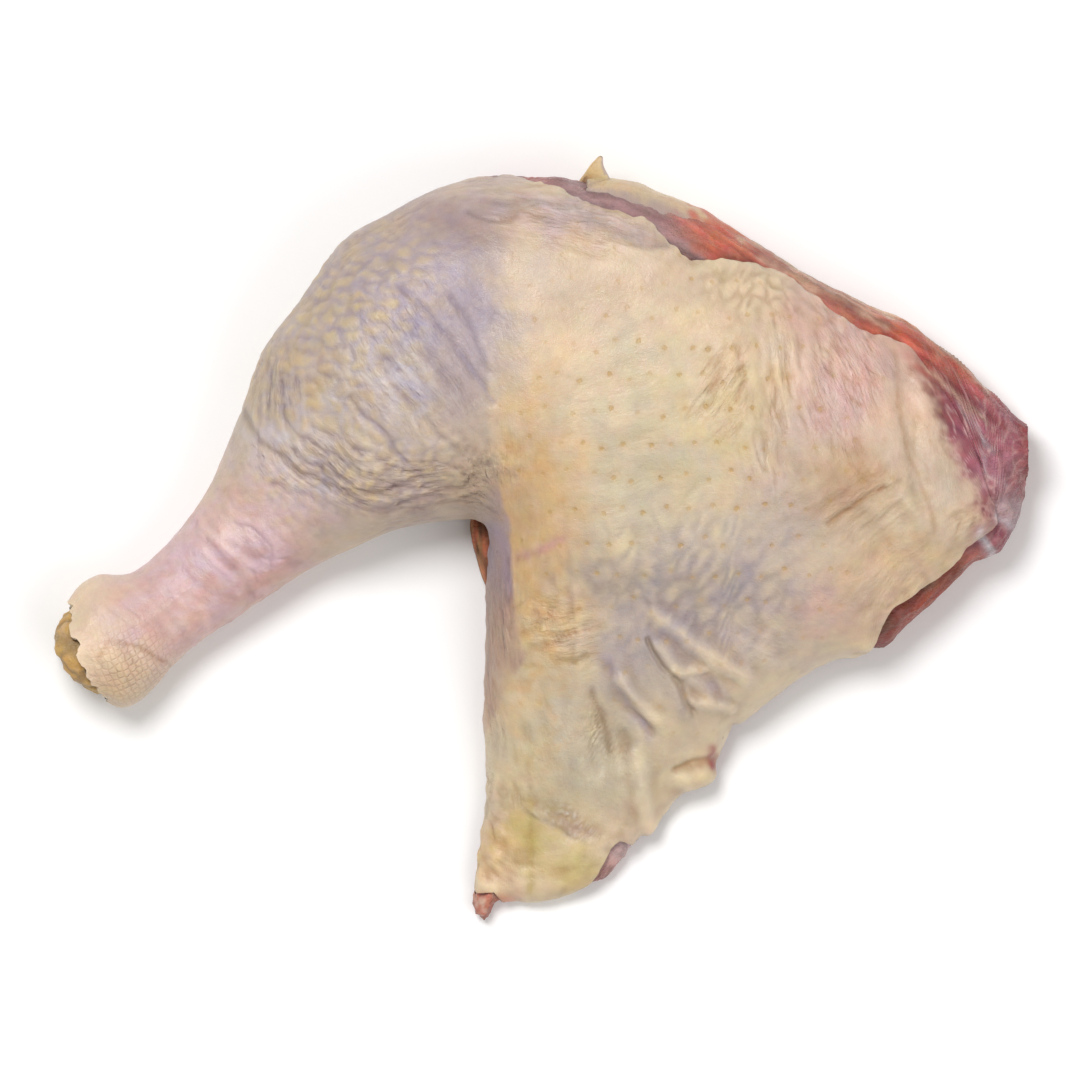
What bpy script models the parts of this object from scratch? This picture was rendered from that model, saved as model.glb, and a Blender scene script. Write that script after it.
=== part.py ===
"""A raw turkey leg, drumstick and thigh in one piece, lying with its skin side up.

The leg is one loft of upright closed sections. Each section runs from a point of the back outline (the
shin, over the knee, along the cut top of the thigh) to a point of the belly outline (the calf, the bend
of the knee, down the free edge of the thigh and along its lower hem). A place on the leg is given by its
station, which counts from 0 at the hock to 21 at the hip end, and by its turn round the section: 0 at
the back outline, a quarter turn on top, a half turn at the belly outline, three quarters underneath.
The skin, the meat under it and the strip of fat are layers of that one surface, so they fit each other.
+X points from the hock to the hip end, +Z up out of the shown side. Lengths are in millimetres.
"""

import math

import bpy
import numpy as np

MM = 0.001

# The middle of the leg's outline, which stands over the origin.
MIDDLE = (-0.35, 0.75, 0.0)

# Thicknesses and gaps.
SKIN_THICKNESS = 2.4
HEM_THICKNESS = 1.0
HEM_TAPER = 9.0
THINNEST_SHARE = 0.2
LOW_EDGE_SHARE = 0.3
FAT_THICKNESS = 2.2
LAYER_GAP = 0.3
BARE_RISE = 5.5
FLAT_SPOT = 1.5

# Where layers start and end along the leg, as stations.
SLIT_START = 7.0
SKIN_END = 18.5
STUB_END = 0.5
FAT_START = 10.0
FAT_END = 14.3
LEG_END = 21.0

# The outlines seen from above: station, x, y.
BACK_OUTLINE = [
    (0, -151, -20), (0.5, -147, -15), (1, -142, -12), (2, -128, -9), (2.5, -118, 1), (3, -107, 15),
    (3.5, -100, 31), (4, -94, 47), (4.5, -87, 63), (5, -76, 78), (5.5, -62, 96), (6, -44, 107),
    (6.5, -31, 113), (7, -19, 116), (8, -3, 116), (9, 6, 116), (10, 15, 114), (11, 26, 114),
    (12, 37, 110), (13, 48, 106), (14, 64, 98), (15, 80, 88), (16, 99, 78), (17, 118, 69),
    (18, 131, 60), (19, 144, 48), (20, 151, 41), (21, 156, 37),
]
BELLY_OUTLINE = [
    (0, -139, -52), (0.5, -134, -54), (1, -128, -52), (1.5, -122, -46), (2, -116, -39), (2.5, -107, -31),
    (3, -93, -22), (3.5, -81, -14), (4, -69, -7), (5, -46, 3), (6, -25, 7), (6.6, -19, 6.5), (7, -16.3, 3),
    (7.4, -16, -4), (8, -16.8, -19), (9, -17.3, -51), (10, -17.3, -82), (10.4, -19, -94),
    (10.7, -21.6, -109), (10.85, -21.6, -116), (11, -18, -122), (11.15, -15, -118), (11.3, -11, -116),
    (11.7, 2, -116), (12, 11, -113), (12.3, 20, -109), (12.6, 26, -103), (12.8, 31, -96), (13, 36, -94),
    (13.3, 40, -87), (13.7, 48, -80), (14, 56.5, -75), (14.15, 57, -67), (14.3, 59, -61), (14.7, 67, -57),
    (15, 80, -47), (15.5, 93, -39), (16, 109, -35), (16.5, 119, -26), (17, 131, -15), (17.5, 138, -8),
    (18, 145, -5), (18.5, 148, -3), (19, 152, 4), (20, 155, 13), (21, 156, 20),
]

# Heights over the surface it lies on, at places seen from above: x, y, top, and the widest line of the
# nearest edge. Between the marks the heights pass over softly, within MARK_REACH.
HEIGHT_MARKS = [
    (-148, -36, 32, 16), (-138, -32, 37, 18), (-122, -24, 29, 15), (-105, -6, 30, 15), (-95, 5, 32, 16),
    (-86, 20, 39, 18), (-80, 34, 46, 22), (-66, 50, 56, 27), (-45, 60, 60, 28), (-50, 25, 56, 26),
    (-35, 90, 59, 28), (-28, 30, 56, 26), (-12, 70, 58, 26), (-8, 105, 57, 26), (-4, 30, 56, 24),
    (-8, 0, 48, 18), (20, 90, 58, 26), (20, 45, 58, 24), (20, 5, 52, 20), (-10, -30, 38, 13),
    (15, -35, 38, 14), (-12, -60, 27, 10), (12, -70, 24, 9), (-16, -90, 15, 6), (10, -98, 11, 4.5),
    (-18, -118, 9, 4), (30, -95, 12, 5), (40, -72, 20, 7), (40, -40, 36, 13), (50, 60, 57, 24),
    (50, 0, 52, 19), (65, -35, 34, 11), (75, 80, 55, 23), (85, 30, 54, 21), (90, -15, 44, 15),
    (100, -35, 36, 14), (112, 60, 49, 20), (120, 20, 47, 18), (125, -12, 38, 16), (138, 45, 40, 17),
    (145, 10, 36, 15), (156, 30, 26, 13),
]
MARK_REACH = 15.0

# The edges round over within this share of the height over and under the widest line.
ROUNDING = 1.12

# The free edges of the skin, as turns in degrees at stations past SLIT_START. Before it the skin is a
# closed sleeve, and the turns only place the mesh's columns. Columns near a hem are pulled onto it.
BACK_HEM = [
    (0, 20), (6, 20), (7, 8), (7.5, 4), (8, 11), (9, 17), (10, 21), (11, 23), (12, 29), (13, 34),
    (13.5, 31), (14, 27), (15, 22), (16, 34), (17, 38), (17.5, 54), (18, 79), (18.5, 120), (19, 80),
    (20, 40), (21, 30),
]
BELLY_HEM = [
    (0, 195), (6, 195), (7, 186), (7.4, 182), (8, 184), (8.5, 194), (9, 199), (10, 199), (10.5, 190),
    (10.7, 178), (10.85, 167), (11, 158), (11.15, 164), (11.3, 180), (11.7, 192), (12, 186),
    (12.15, 172), (12.3, 160), (12.6, 160), (12.8, 176), (13.3, 188), (14, 182), (14.3, 184),
    (15.4, 192), (15.8, 180), (16, 154), (16.5, 148), (17, 151), (17.5, 147), (18, 141), (18.5, 136),
    (19, 140), (21, 150),
]
BACK_HEM_COLUMN = 20.0
BELLY_HEM_COLUMN = 195.0
HEM_PULL = 45.0
WIDEST_PULL = 1.7
NARROW_COVER = 125.0

# The strip of fat along the cut top edge, and its peeled, curling tip: x, y and z from the strip's first
# row, size against that row, and twist in degrees.
FAT_UNDER = [(7, -30), (9, -25), (10, -20), (12, -24), (13.5, -20), (14.3, -8), (16, -20), (21, -30)]
FAT_INNER = [(7, -10), (9, 5), (10, 15), (12, 18), (13.5, 15), (14.3, 6), (16, 0), (21, 0)]
FAT_PROUD = 0.8
CURL_PATH = [(4.2, 10.8, 4.2, 0.12, 80), (2.8, 8.6, 2.8, 0.34, 60), (1.2, 5.2, 2.2, 0.6, 20)]

# Ridges and hollows of the top side: start x, y, end x, y, half width, height (below zero a hollow).
FOLDS = [
    (-18, 80, -16, 25, 8, -2), (-3, 70, 0, 0, 9, 1.5), (114, 62, 121, 18, 4, -2.5), (27, -76, 29, -94, 5, 3),
    (18, -40, 20, -72, 4, -2), (45, -55, 30, -85, 5, 2), (95, 10, 118, -10, 5, -1.5),
    (108, 22, 124, 4, 4, 1.5), (-95, 5, -70, 20, 7, -1.5), (60, 60, 72, 20, 8, 1.5),
]

# The tongue of the thigh's meat that shows in the bend of the knee, under the edge of the skin: the
# middle of each ring, and its radius across and up.
TONGUE_RINGS = [
    (-14.5, -18.0, 5.4, 1.4, 1.6), (-14.8, -12.0, 5.6, 3.7, 3.2), (-15.4, -6.0, 5.8, 4.9, 3.8),
    (-16.4, 0.0, 6.0, 5.4, 4.0), (-17.6, 5.0, 6.4, 4.8, 3.8), (-18.4, 8.0, 6.4, 3.0, 2.6),
]
TONGUE_SIDES = 14

# Places in plan where the skin lies loose on the meat: x, y, reach, extra gap.
LOOSE_SPOTS = [(-15, 3, 15, 0.9), (20, -108, 9, 0.5), (56, -69, 7, 0.7), (-15, -83, 9, 0.4)]

# The gristly end of the shank bone: how far it stands out of the skin, and the groove between its knuckles.
KNUCKLE_REACH = 7.2
KNUCKLE_RINGS = 4
KNUCKLE_BLUNTNESS = 0.35
KNUCKLE_TILT = 0.2
KNUCKLE_GROOVE = 0.35
GROOVE_HALF_WIDTH = 4.0
RIM_BOW = 3.0
RIM_BOW_FADE = 0.8

# Mesh: columns over the covered top, the underside, the strip of fat and the bare meat beside it.
COLUMNS = (26, 6, 3, 2)
LONGEST_STEP = 0.5
OUTLINE_STEP = 0.1
EDGE_STEP = 1.5
SLOPE_STEP = 1.0
SHARP_EDGE = math.radians(50)


def smooth_table(table, at):
    """Read a table at the places given, along a smooth curve through its rows."""
    rows = np.array(table, float)
    knots, values = rows[:, 0], rows[:, 1:]
    slopes = np.gradient(values, knots, axis=0)
    at = np.clip(at, knots[0], knots[-1])
    low = np.clip(np.searchsorted(knots, at, side="right") - 1, 0, len(knots) - 2)
    step = (knots[low + 1] - knots[low])[:, None]
    t = (at - knots[low])[:, None] / step
    start = values[low] * (1 + 2 * t) + slopes[low] * step * t
    end = values[low + 1] * (3 - 2 * t) - slopes[low + 1] * step * (1 - t)
    return start * (1 - t) ** 2 + end * t**2


def ease(t):
    """A soft step from 0 to 1."""
    t = np.clip(t, 0.0, 1.0)
    return t * t * (3 - 2 * t)


def offset_from_line(points, starts, along):
    """The offset in plan to each point from the nearest of the straight stretches."""
    offset = points[..., None, :] - starts
    share = np.clip(np.sum(offset * along, axis=-1) / np.sum(along * along, axis=-1), 0, 1)
    offset = offset - share[..., None] * along
    nearest = np.linalg.norm(offset, axis=-1).argmin(axis=-1)
    return np.take_along_axis(offset, nearest[..., None, None], axis=-2)[..., 0, :]


def offset_from_outline(points):
    """The offset in plan to each point from the nearest place on the back or belly outline."""
    fine = np.arange(0, LEG_END + OUTLINE_STEP, OUTLINE_STEP)
    back, belly = smooth_table(BACK_OUTLINE, fine), smooth_table(BELLY_OUTLINE, fine)
    starts = np.concatenate([back[:-1], belly[:-1]])
    along = np.concatenate([np.diff(back, axis=0), np.diff(belly, axis=0)])
    return offset_from_line(points, starts, along)


def fold_relief(plan):
    """The height that the folds add at each point in plan."""
    relief = np.zeros(plan.shape[:-1])
    for x0, y0, x1, y1, half_width, height in FOLDS:
        away = offset_from_line(plan, np.array([(x0, y0)], float), np.array([(x1 - x0, y1 - y0)], float))
        relief += height * np.exp(-np.sum(away**2, axis=-1) / half_width**2)
    return relief


def rim_bow(stations, across):
    """How far the sleeve of skin bows outward at the hock, in plan along the shank."""
    middle = 0.5 * (smooth_table(BACK_OUTLINE, [0.0, 0.3]) + smooth_table(BELLY_OUTLINE, [0.0, 0.3]))
    outward = (middle[0] - middle[1]) / np.linalg.norm(middle[0] - middle[1])
    reach = RIM_BOW * np.clip(1 - stations / RIM_BOW_FADE, 0, 1)[:, None] * 4 * across * (1 - across)
    return reach[..., None] * outward


def heights_at(plan):
    """The height of the top and of the nearest edge's widest line at each point in plan."""
    marks = np.array(HEIGHT_MARKS, float)
    away = np.linalg.norm(plan[..., None, :] - marks[:, :2], axis=-1)
    share = np.exp(-0.5 * (away / MARK_REACH) ** 2) + 1e-9
    mean = (share @ marks[:, 2:]) / share.sum(axis=-1, keepdims=True)
    return mean[..., 0], mean[..., 1]


def top_slope(plan):
    """The slope of the top along x and y at each point in plan."""
    slopes = []
    for step in ((SLOPE_STEP, 0), (0, SLOPE_STEP)):
        ahead, behind = plan + np.array(step), plan - np.array(step)
        rise = heights_at(ahead)[0] + fold_relief(ahead) - heights_at(behind)[0] - fold_relief(behind)
        slopes.append(rise / (2 * SLOPE_STEP))
    return np.stack(slopes, axis=-1)


def leg_surface(stations, turns):
    """Points of the leg's outside at each station and turn, and its outward normals there."""
    back = smooth_table(BACK_OUTLINE, stations)[:, None, :]
    belly = smooth_table(BELLY_OUTLINE, stations)[:, None, :]
    width = np.linalg.norm(belly - back, axis=-1)
    across = 0.5 * (1 - np.cos(turns))
    plan = back + (belly - back) * across[..., None]
    inward = np.linalg.norm(offset_from_outline(plan), axis=-1)
    top, edge = heights_at(plan)
    on_top = np.sin(turns) >= 0
    rounding = ROUNDING * np.where(on_top, top - edge, edge)
    lean = 1 - np.clip(inward / rounding, 0, 1)
    swell = np.sqrt(1 - lean**2)
    above = edge + (top + fold_relief(plan) - edge) * swell
    below = np.maximum(0.0, edge - (edge + FLAT_SPOT) * swell)
    points = np.concatenate(
        [plan + rim_bow(stations, across), np.where(on_top, above, below)[..., None]], axis=-1
    )
    just_inside = np.clip(across, EDGE_STEP / width, 1 - EDGE_STEP / width)
    from_edge = offset_from_outline(back + (belly - back) * just_inside[..., None])
    from_edge /= np.maximum(np.linalg.norm(from_edge, axis=-1, keepdims=True), 1e-9)
    level = -from_edge * lean[..., None] - np.where(on_top, swell, 0)[..., None] * top_slope(plan)
    normals = np.concatenate([level, np.where(on_top, swell, -swell)[..., None]], axis=-1)
    return points, normals / np.linalg.norm(normals, axis=-1, keepdims=True)


def row_stations():
    """Stations of the mesh's rows: those where an outline turns, and steps between them."""
    marks = sorted({row[0] for row in BACK_OUTLINE + BELLY_OUTLINE} | {SLIT_START, FAT_END})
    rows = []
    for start, end in zip(marks, marks[1:]):
        parts = math.ceil((end - start) / LONGEST_STEP - 1e-6)
        rows += [start + (end - start) * k / parts for k in range(parts)]
    return np.array(rows + [LEG_END])


def column_turns(stations):
    """Turns of the mesh's columns: even, but drawn to the hems of the skin and the edges of the fat."""
    back_hem, belly_hem, fat_under, fat_inner = (
        smooth_table(table, stations) for table in (BACK_HEM, BELLY_HEM, FAT_UNDER, FAT_INNER)
    )
    even = np.linspace(BACK_HEM_COLUMN, BELLY_HEM_COLUMN, COLUMNS[0] + 1)[None, :-1]
    covered = np.repeat(even, len(stations), axis=0)
    for hem, column in ((back_hem, BACK_HEM_COLUMN), (belly_hem, BELLY_HEM_COLUMN)):
        pull = np.maximum(HEM_PULL, WIDEST_PULL * np.abs(hem - column))
        covered += (hem - column) * ease(1 - np.abs(even - column) / pull)
    share = (even - BACK_HEM_COLUMN) / (BELLY_HEM_COLUMN - BACK_HEM_COLUMN)
    spaced = back_hem + (belly_hem - back_hem) * share
    covered += (spaced - covered) * ease((NARROW_COVER - (belly_hem - back_hem)) / HEM_PULL)
    marks = [belly_hem, fat_under + 360, fat_inner + 360, back_hem + 360]
    turns = list(covered.T)
    for start, end, count in zip(marks, marks[1:], COLUMNS[1:]):
        turns += [(start + (end - start) * k / count)[:, 0] for k in range(count)]
    return np.radians(np.array(turns).T)


def shorter_diagonals(grid):
    """For each cell, whether its first corner's diagonal is the shorter one."""
    right = np.roll(grid, -1, axis=1)
    first = np.linalg.norm(right[1:] - grid[:-1], axis=-1)
    second = np.linalg.norm(grid[1:] - right[:-1], axis=-1)
    return first <= second


def corners_of(cells):
    """The mesh points that belong to at least one of the cells."""
    touched = cells | np.roll(cells, 1, axis=1)
    rows = np.zeros((cells.shape[0] + 1, cells.shape[1]), bool)
    rows[:-1] |= touched
    rows[1:] |= touched
    return rows


def hem_of(cells):
    """The mesh points on the free edge of the cells."""
    framed = np.pad(cells, ((1, 1), (0, 0)))
    return corners_of(framed)[1:-1] & corners_of(~framed)[1:-1]


def distance_to_points(grid, chosen):
    """The distance from each mesh point to the nearest chosen one."""
    return np.linalg.norm(grid[:, :, None, :] - grid[chosen], axis=-1).min(axis=-1)


def cell_triangles(a, b, c, d, from_first=True):
    """Two triangles over one cell, split from its first corner or from its second."""
    return [(a, b, c), (a, c, d)] if from_first else [(a, b, d), (b, c, d)]


def sheet_mesh(outer, inner, cells, diagonals):
    """A closed sheet over the chosen cells, between an outer and an inner surface."""
    rows, columns = outer.shape[:2]
    number = np.arange(rows * columns).reshape(rows, columns)
    below = rows * columns
    faces = []
    for i, j in zip(*np.nonzero(cells)):
        right = (j + 1) % columns
        a, b, c, d = number[i, j], number[i, right], number[i + 1, right], number[i + 1, j]
        for face in cell_triangles(a, b, c, d, diagonals[i, j]):
            faces += [face, tuple(corner + below for corner in reversed(face))]
        neighbours = (
            (i == 0 or not cells[i - 1, j], a, b),
            (not cells[i, right], b, c),
            (i == rows - 2 or not cells[i + 1, j], c, d),
            (not cells[i, j - 1], d, a),
        )
        for is_edge, start, end in neighbours:
            if is_edge:
                faces += cell_triangles(start + below, end + below, end, start)
    points = np.concatenate([outer.reshape(-1, 3), inner.reshape(-1, 3)])
    return points, faces


def loft_mesh(rings, diagonals):
    """A closed body through rings of points, each end closed by a fan round its middle."""
    rows, columns = rings.shape[:2]
    number = np.arange(rows * columns).reshape(rows, columns)
    points = np.concatenate([rings.reshape(-1, 3), [rings[0].mean(axis=0), rings[-1].mean(axis=0)]])
    faces = []
    for j in range(columns):
        right = (j + 1) % columns
        for i in range(rows - 1):
            corners = number[i, j], number[i, right], number[i + 1, right], number[i + 1, j]
            faces += cell_triangles(*corners, diagonals[i, j])
        faces.append((rows * columns, number[0, right], number[0, j]))
        faces.append((rows * columns + 1, number[-1, j], number[-1, right]))
    return points, faces


def material(name, colour, roughness):
    """A plain Principled material."""
    new = bpy.data.materials.new(name)
    new.use_nodes = True
    shader = new.node_tree.nodes["Principled BSDF"]
    shader.inputs["Base Color"].default_value = (*colour, 1.0)
    shader.inputs["Roughness"].default_value = roughness
    shader.inputs["Metallic"].default_value = 0.0
    return new


def add_piece(name, points, faces, looks):
    """Add one named piece, leaving out the points that no face uses."""
    used = np.unique(np.array(faces))
    renumber = np.zeros(len(points), int)
    renumber[used] = np.arange(len(used))
    mesh = bpy.data.meshes.new(name)
    mesh.from_pydata(((points[used] - MIDDLE) * MM).tolist(), [], renumber[np.array(faces)].tolist())
    mesh.shade_smooth()
    mesh.set_sharp_from_angle(angle=SHARP_EDGE)
    mesh.materials.append(looks)
    piece = bpy.data.objects.new(name, mesh)
    bpy.context.scene.collection.objects.link(piece)
    return piece


class Layers:
    """The leg's surface, and how deep each layer lies under it."""

    def __init__(self):
        self.stations = row_stations()
        self.turns = column_turns(self.stations)
        self.outside, self.normals = leg_surface(self.stations, self.turns)
        self.diagonals = shorter_diagonals(self.outside)
        middle = 0.5 * (self.stations[1:] + self.stations[:-1])[:, None]
        column = np.arange(sum(COLUMNS))[None, :]
        covered_column = column < COLUMNS[0]
        fat_column = (column >= COLUMNS[0] + COLUMNS[1]) & (column < sum(COLUMNS[:3]))
        self.skin_cells = (middle < SLIT_START) | (covered_column & (middle < SKIN_END))
        self.fat_cells = fat_column & (middle > FAT_START) & (middle < FAT_END)
        self.skin_depth = self.find_skin_depth()

    def find_skin_depth(self):
        """The skin's thickness: thin at its hems, and never a large share of a thin flap."""
        hem = distance_to_points(self.outside, hem_of(self.skin_cells))
        full = HEM_THICKNESS + (SKIN_THICKNESS - HEM_THICKNESS) * ease(hem / HEM_TAPER)
        thickness = self.outside[..., 2].max(axis=1, keepdims=True)
        local = np.maximum(self.outside[..., 2], LOW_EDGE_SHARE * thickness)
        return np.minimum(full, np.maximum(HEM_THICKNESS, THINNEST_SHARE * local))

    def at_depth(self, depth):
        """The surface that lies a given depth under the leg's outside."""
        return self.outside - self.normals * np.asarray(depth)[..., None]

    def meat_depth(self):
        """Deep enough for the layers over it, and rising to the outside where the meat is bare."""
        covered = corners_of(self.skin_cells)
        away = distance_to_points(self.outside, covered)
        bare = (HEM_THICKNESS + LAYER_GAP) * (1 - ease(away / BARE_RISE))
        depth = np.where(covered, self.skin_depth + LAYER_GAP + self.looseness(), bare)
        under_fat = corners_of(self.fat_cells)
        fat_depth = FAT_THICKNESS - FAT_PROUD + LAYER_GAP
        return np.where(under_fat & ~covered, np.maximum(depth, fat_depth), depth)

    def looseness(self):
        """The extra gap under the skin at its loose spots."""
        extra = np.zeros(self.turns.shape)
        for x, y, reach, gap in LOOSE_SPOTS:
            away = np.linalg.norm(self.outside[..., :2] - (x, y), axis=-1)
            extra += gap * np.exp(-((away / reach) ** 2))
        return extra


def build_skin(layers):
    """The skin: a sleeve round the drumstick, and an open sheet over the top of the thigh."""
    inner = layers.at_depth(layers.skin_depth)
    points, faces = sheet_mesh(layers.outside, inner, layers.skin_cells, layers.diagonals)
    add_piece("skin", points, faces, material("skin", (0.72, 0.56, 0.38), 0.42))


def build_meat(layers):
    """The meat: from the end of the bone's stub to the cut hip end, with the tongue joined on."""
    surface = layers.at_depth(layers.meat_depth())
    first = int(np.searchsorted(layers.stations, STUB_END))
    rings = surface[first:].copy()
    step = rings[1] - rings[0]
    rings[0] += step * (LAYER_GAP / np.linalg.norm(step, axis=-1).min())
    points, faces = loft_mesh(rings, layers.diagonals[first:])
    meat = add_piece("meat", points, faces, material("meat", (0.42, 0.10, 0.10), 0.35))
    join_onto(meat, build_tongue(meat.data.materials[0]))


def build_tongue(looks):
    """The tongue of the thigh's inner meat that shows in the bend of the knee."""
    angles = np.arange(TONGUE_SIDES) * math.tau / TONGUE_SIDES
    rings = np.array([
        [(x + across * math.cos(angle), y, z + up * math.sin(angle)) for angle in angles]
        for x, y, z, across, up in TONGUE_RINGS
    ])
    points, faces = loft_mesh(rings, shorter_diagonals(rings))
    return add_piece("tongue", points, faces, looks)


def join_onto(piece, other):
    """Join another closed piece onto this one, and take the other away."""
    union = piece.modifiers.new("join", "BOOLEAN")
    union.operation = "UNION"
    union.solver = "EXACT"
    union.object = other
    joined = piece.evaluated_get(bpy.context.evaluated_depsgraph_get())
    mesh = bpy.data.meshes.new_from_object(joined)
    piece.modifiers.remove(union)
    piece.data = mesh
    bpy.data.objects.remove(other)


def build_hock_joint(layers):
    """The joint end of the bone: a stub inside the skin and two low knuckles that stand out of it."""
    inside = layers.at_depth(layers.skin_depth + LAYER_GAP)
    last = int(np.searchsorted(layers.stations, STUB_END))
    stub = inside[: last + 1]
    rim = stub[0]
    middle = rim.mean(axis=0)
    outward = middle - stub[1].mean(axis=0)
    outward[2] = 0
    outward /= np.linalg.norm(outward)
    side = (rim - middle) @ np.cross((0, 0, 1), outward)
    lobes = []
    for angle in np.linspace(math.pi / 2, 0, KNUCKLE_RINGS + 2)[1:-1]:
        ring = middle + (rim - middle) * math.cos(angle) ** KNUCKLE_BLUNTNESS
        groove = KNUCKLE_GROOVE * np.exp(-(((ring[:, 2] - middle[2]) / GROOVE_HALF_WIDTH) ** 2))
        reach = KNUCKLE_REACH * math.sin(angle) * (1 - groove - KNUCKLE_TILT * side / np.abs(side).max())
        lobes.append(ring + outward * reach[:, None])
    rings = np.concatenate([np.array(lobes), stub])
    diagonals = np.concatenate([shorter_diagonals(rings[: len(lobes) + 1]), layers.diagonals[:last]])
    points, faces = loft_mesh(rings, diagonals)
    add_piece("hock_joint", points, faces, material("hock_joint", (0.50, 0.36, 0.16), 0.5))


def turned_about_y(degrees):
    """The matrix that turns rows of points about the y axis, from +z towards +x."""
    cosine, sine = math.cos(math.radians(degrees)), math.sin(math.radians(degrees))
    return np.array([(cosine, 0, -sine), (0, 1, 0), (sine, 0, cosine)])


def build_fat_strip(layers):
    """The strip of fat on the cut top edge, with its end peeled off and curling up."""
    cells = layers.fat_cells
    outer = layers.at_depth(np.full(cells.shape[0] + 1, -FAT_PROUD)[:, None])
    inner = layers.at_depth(np.full(cells.shape[0] + 1, FAT_THICKNESS - FAT_PROUD)[:, None])
    start = int(np.nonzero(cells)[0].min())
    used = corners_of(cells)[start]
    middle = 0.5 * (outer[start, used].mean(axis=0) + inner[start, used].mean(axis=0))
    peeled = [
        [
            middle + np.array((x, y, z)) + (face[start] - middle) * size @ turned_about_y(twist)
            for x, y, z, size, twist in CURL_PATH
        ]
        for face in (outer, inner)
    ]
    outer = np.concatenate([peeled[0], outer[start:]])
    inner = np.concatenate([peeled[1], inner[start:]])
    cells = np.concatenate([cells[start : start + 1]] * len(CURL_PATH) + [cells[start:]])
    diagonals = shorter_diagonals(outer)
    diagonals[len(CURL_PATH) :] = layers.diagonals[start:]
    points, faces = sheet_mesh(outer, inner, cells, diagonals)
    add_piece("fat_strip", points, faces, material("fat_strip", (0.78, 0.62, 0.40), 0.4))


def main():
    for old in list(bpy.data.objects):
        bpy.data.objects.remove(old)
    layers = Layers()
    build_skin(layers)
    build_meat(layers)
    build_hock_joint(layers)
    build_fat_strip(layers)


main()
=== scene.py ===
"""A raw turkey leg, dressed with its fine skin, meat, fat and gristle.

Places and lengths are in millimetres in the leg's own frame, with +X from the hock to the hip end, +Y
towards the outside of the knee and +Z up out of the skin side, until a mesh is made in metres.
"""

import math
from itertools import product
from types import SimpleNamespace

import bpy
import numpy as np
from bpy.props import FloatProperty, FloatVectorProperty, PointerProperty
from mathutils.kdtree import KDTree
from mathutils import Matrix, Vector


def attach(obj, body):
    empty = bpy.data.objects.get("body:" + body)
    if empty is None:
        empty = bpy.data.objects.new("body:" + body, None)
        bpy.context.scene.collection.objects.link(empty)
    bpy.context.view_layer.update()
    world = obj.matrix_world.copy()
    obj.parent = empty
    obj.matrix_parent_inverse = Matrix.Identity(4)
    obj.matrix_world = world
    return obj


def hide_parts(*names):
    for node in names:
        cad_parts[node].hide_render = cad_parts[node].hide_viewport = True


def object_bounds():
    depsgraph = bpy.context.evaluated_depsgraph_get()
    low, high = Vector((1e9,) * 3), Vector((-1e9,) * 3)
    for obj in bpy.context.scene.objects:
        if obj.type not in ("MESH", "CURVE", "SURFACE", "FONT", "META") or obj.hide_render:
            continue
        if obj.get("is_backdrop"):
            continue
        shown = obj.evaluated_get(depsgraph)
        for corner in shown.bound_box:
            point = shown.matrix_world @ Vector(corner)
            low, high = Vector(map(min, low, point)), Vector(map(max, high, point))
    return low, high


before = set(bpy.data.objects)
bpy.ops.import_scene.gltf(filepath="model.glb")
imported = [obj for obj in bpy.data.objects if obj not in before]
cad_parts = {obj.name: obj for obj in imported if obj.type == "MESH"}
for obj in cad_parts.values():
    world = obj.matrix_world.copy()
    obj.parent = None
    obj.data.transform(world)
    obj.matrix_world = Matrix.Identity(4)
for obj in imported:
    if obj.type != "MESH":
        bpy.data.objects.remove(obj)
CAD_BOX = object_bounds()

bl_info = {
    "name": "Raw turkey leg",
    "version": (1, 0, 0),
    "blender": (4, 5, 0),
    "location": "View3D > Sidebar > Turkey leg",
    "description": "Builds the skin, meat, fat and gristle of a raw turkey leg",
    "category": "Add Mesh",
}

MM = 0.001

# ---------------------------------------------------------------- the leg's form, as its solids have it

# The middle of the leg's outline, which stands over the origin.
MIDDLE = (-0.35, 0.75, 0.0)

SLIT_START = 7.0
SKIN_END = 18.5
STUB_END = 0.5
FAT_START = 10.0
FAT_END = 14.3
LEG_END = 21.0
FLAT_SPOT = 1.5
ROUNDING = 1.12
MARK_REACH = 15.0
RIM_BOW = 3.0
RIM_BOW_FADE = 0.8
OUTLINE_STEP = 0.004

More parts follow.
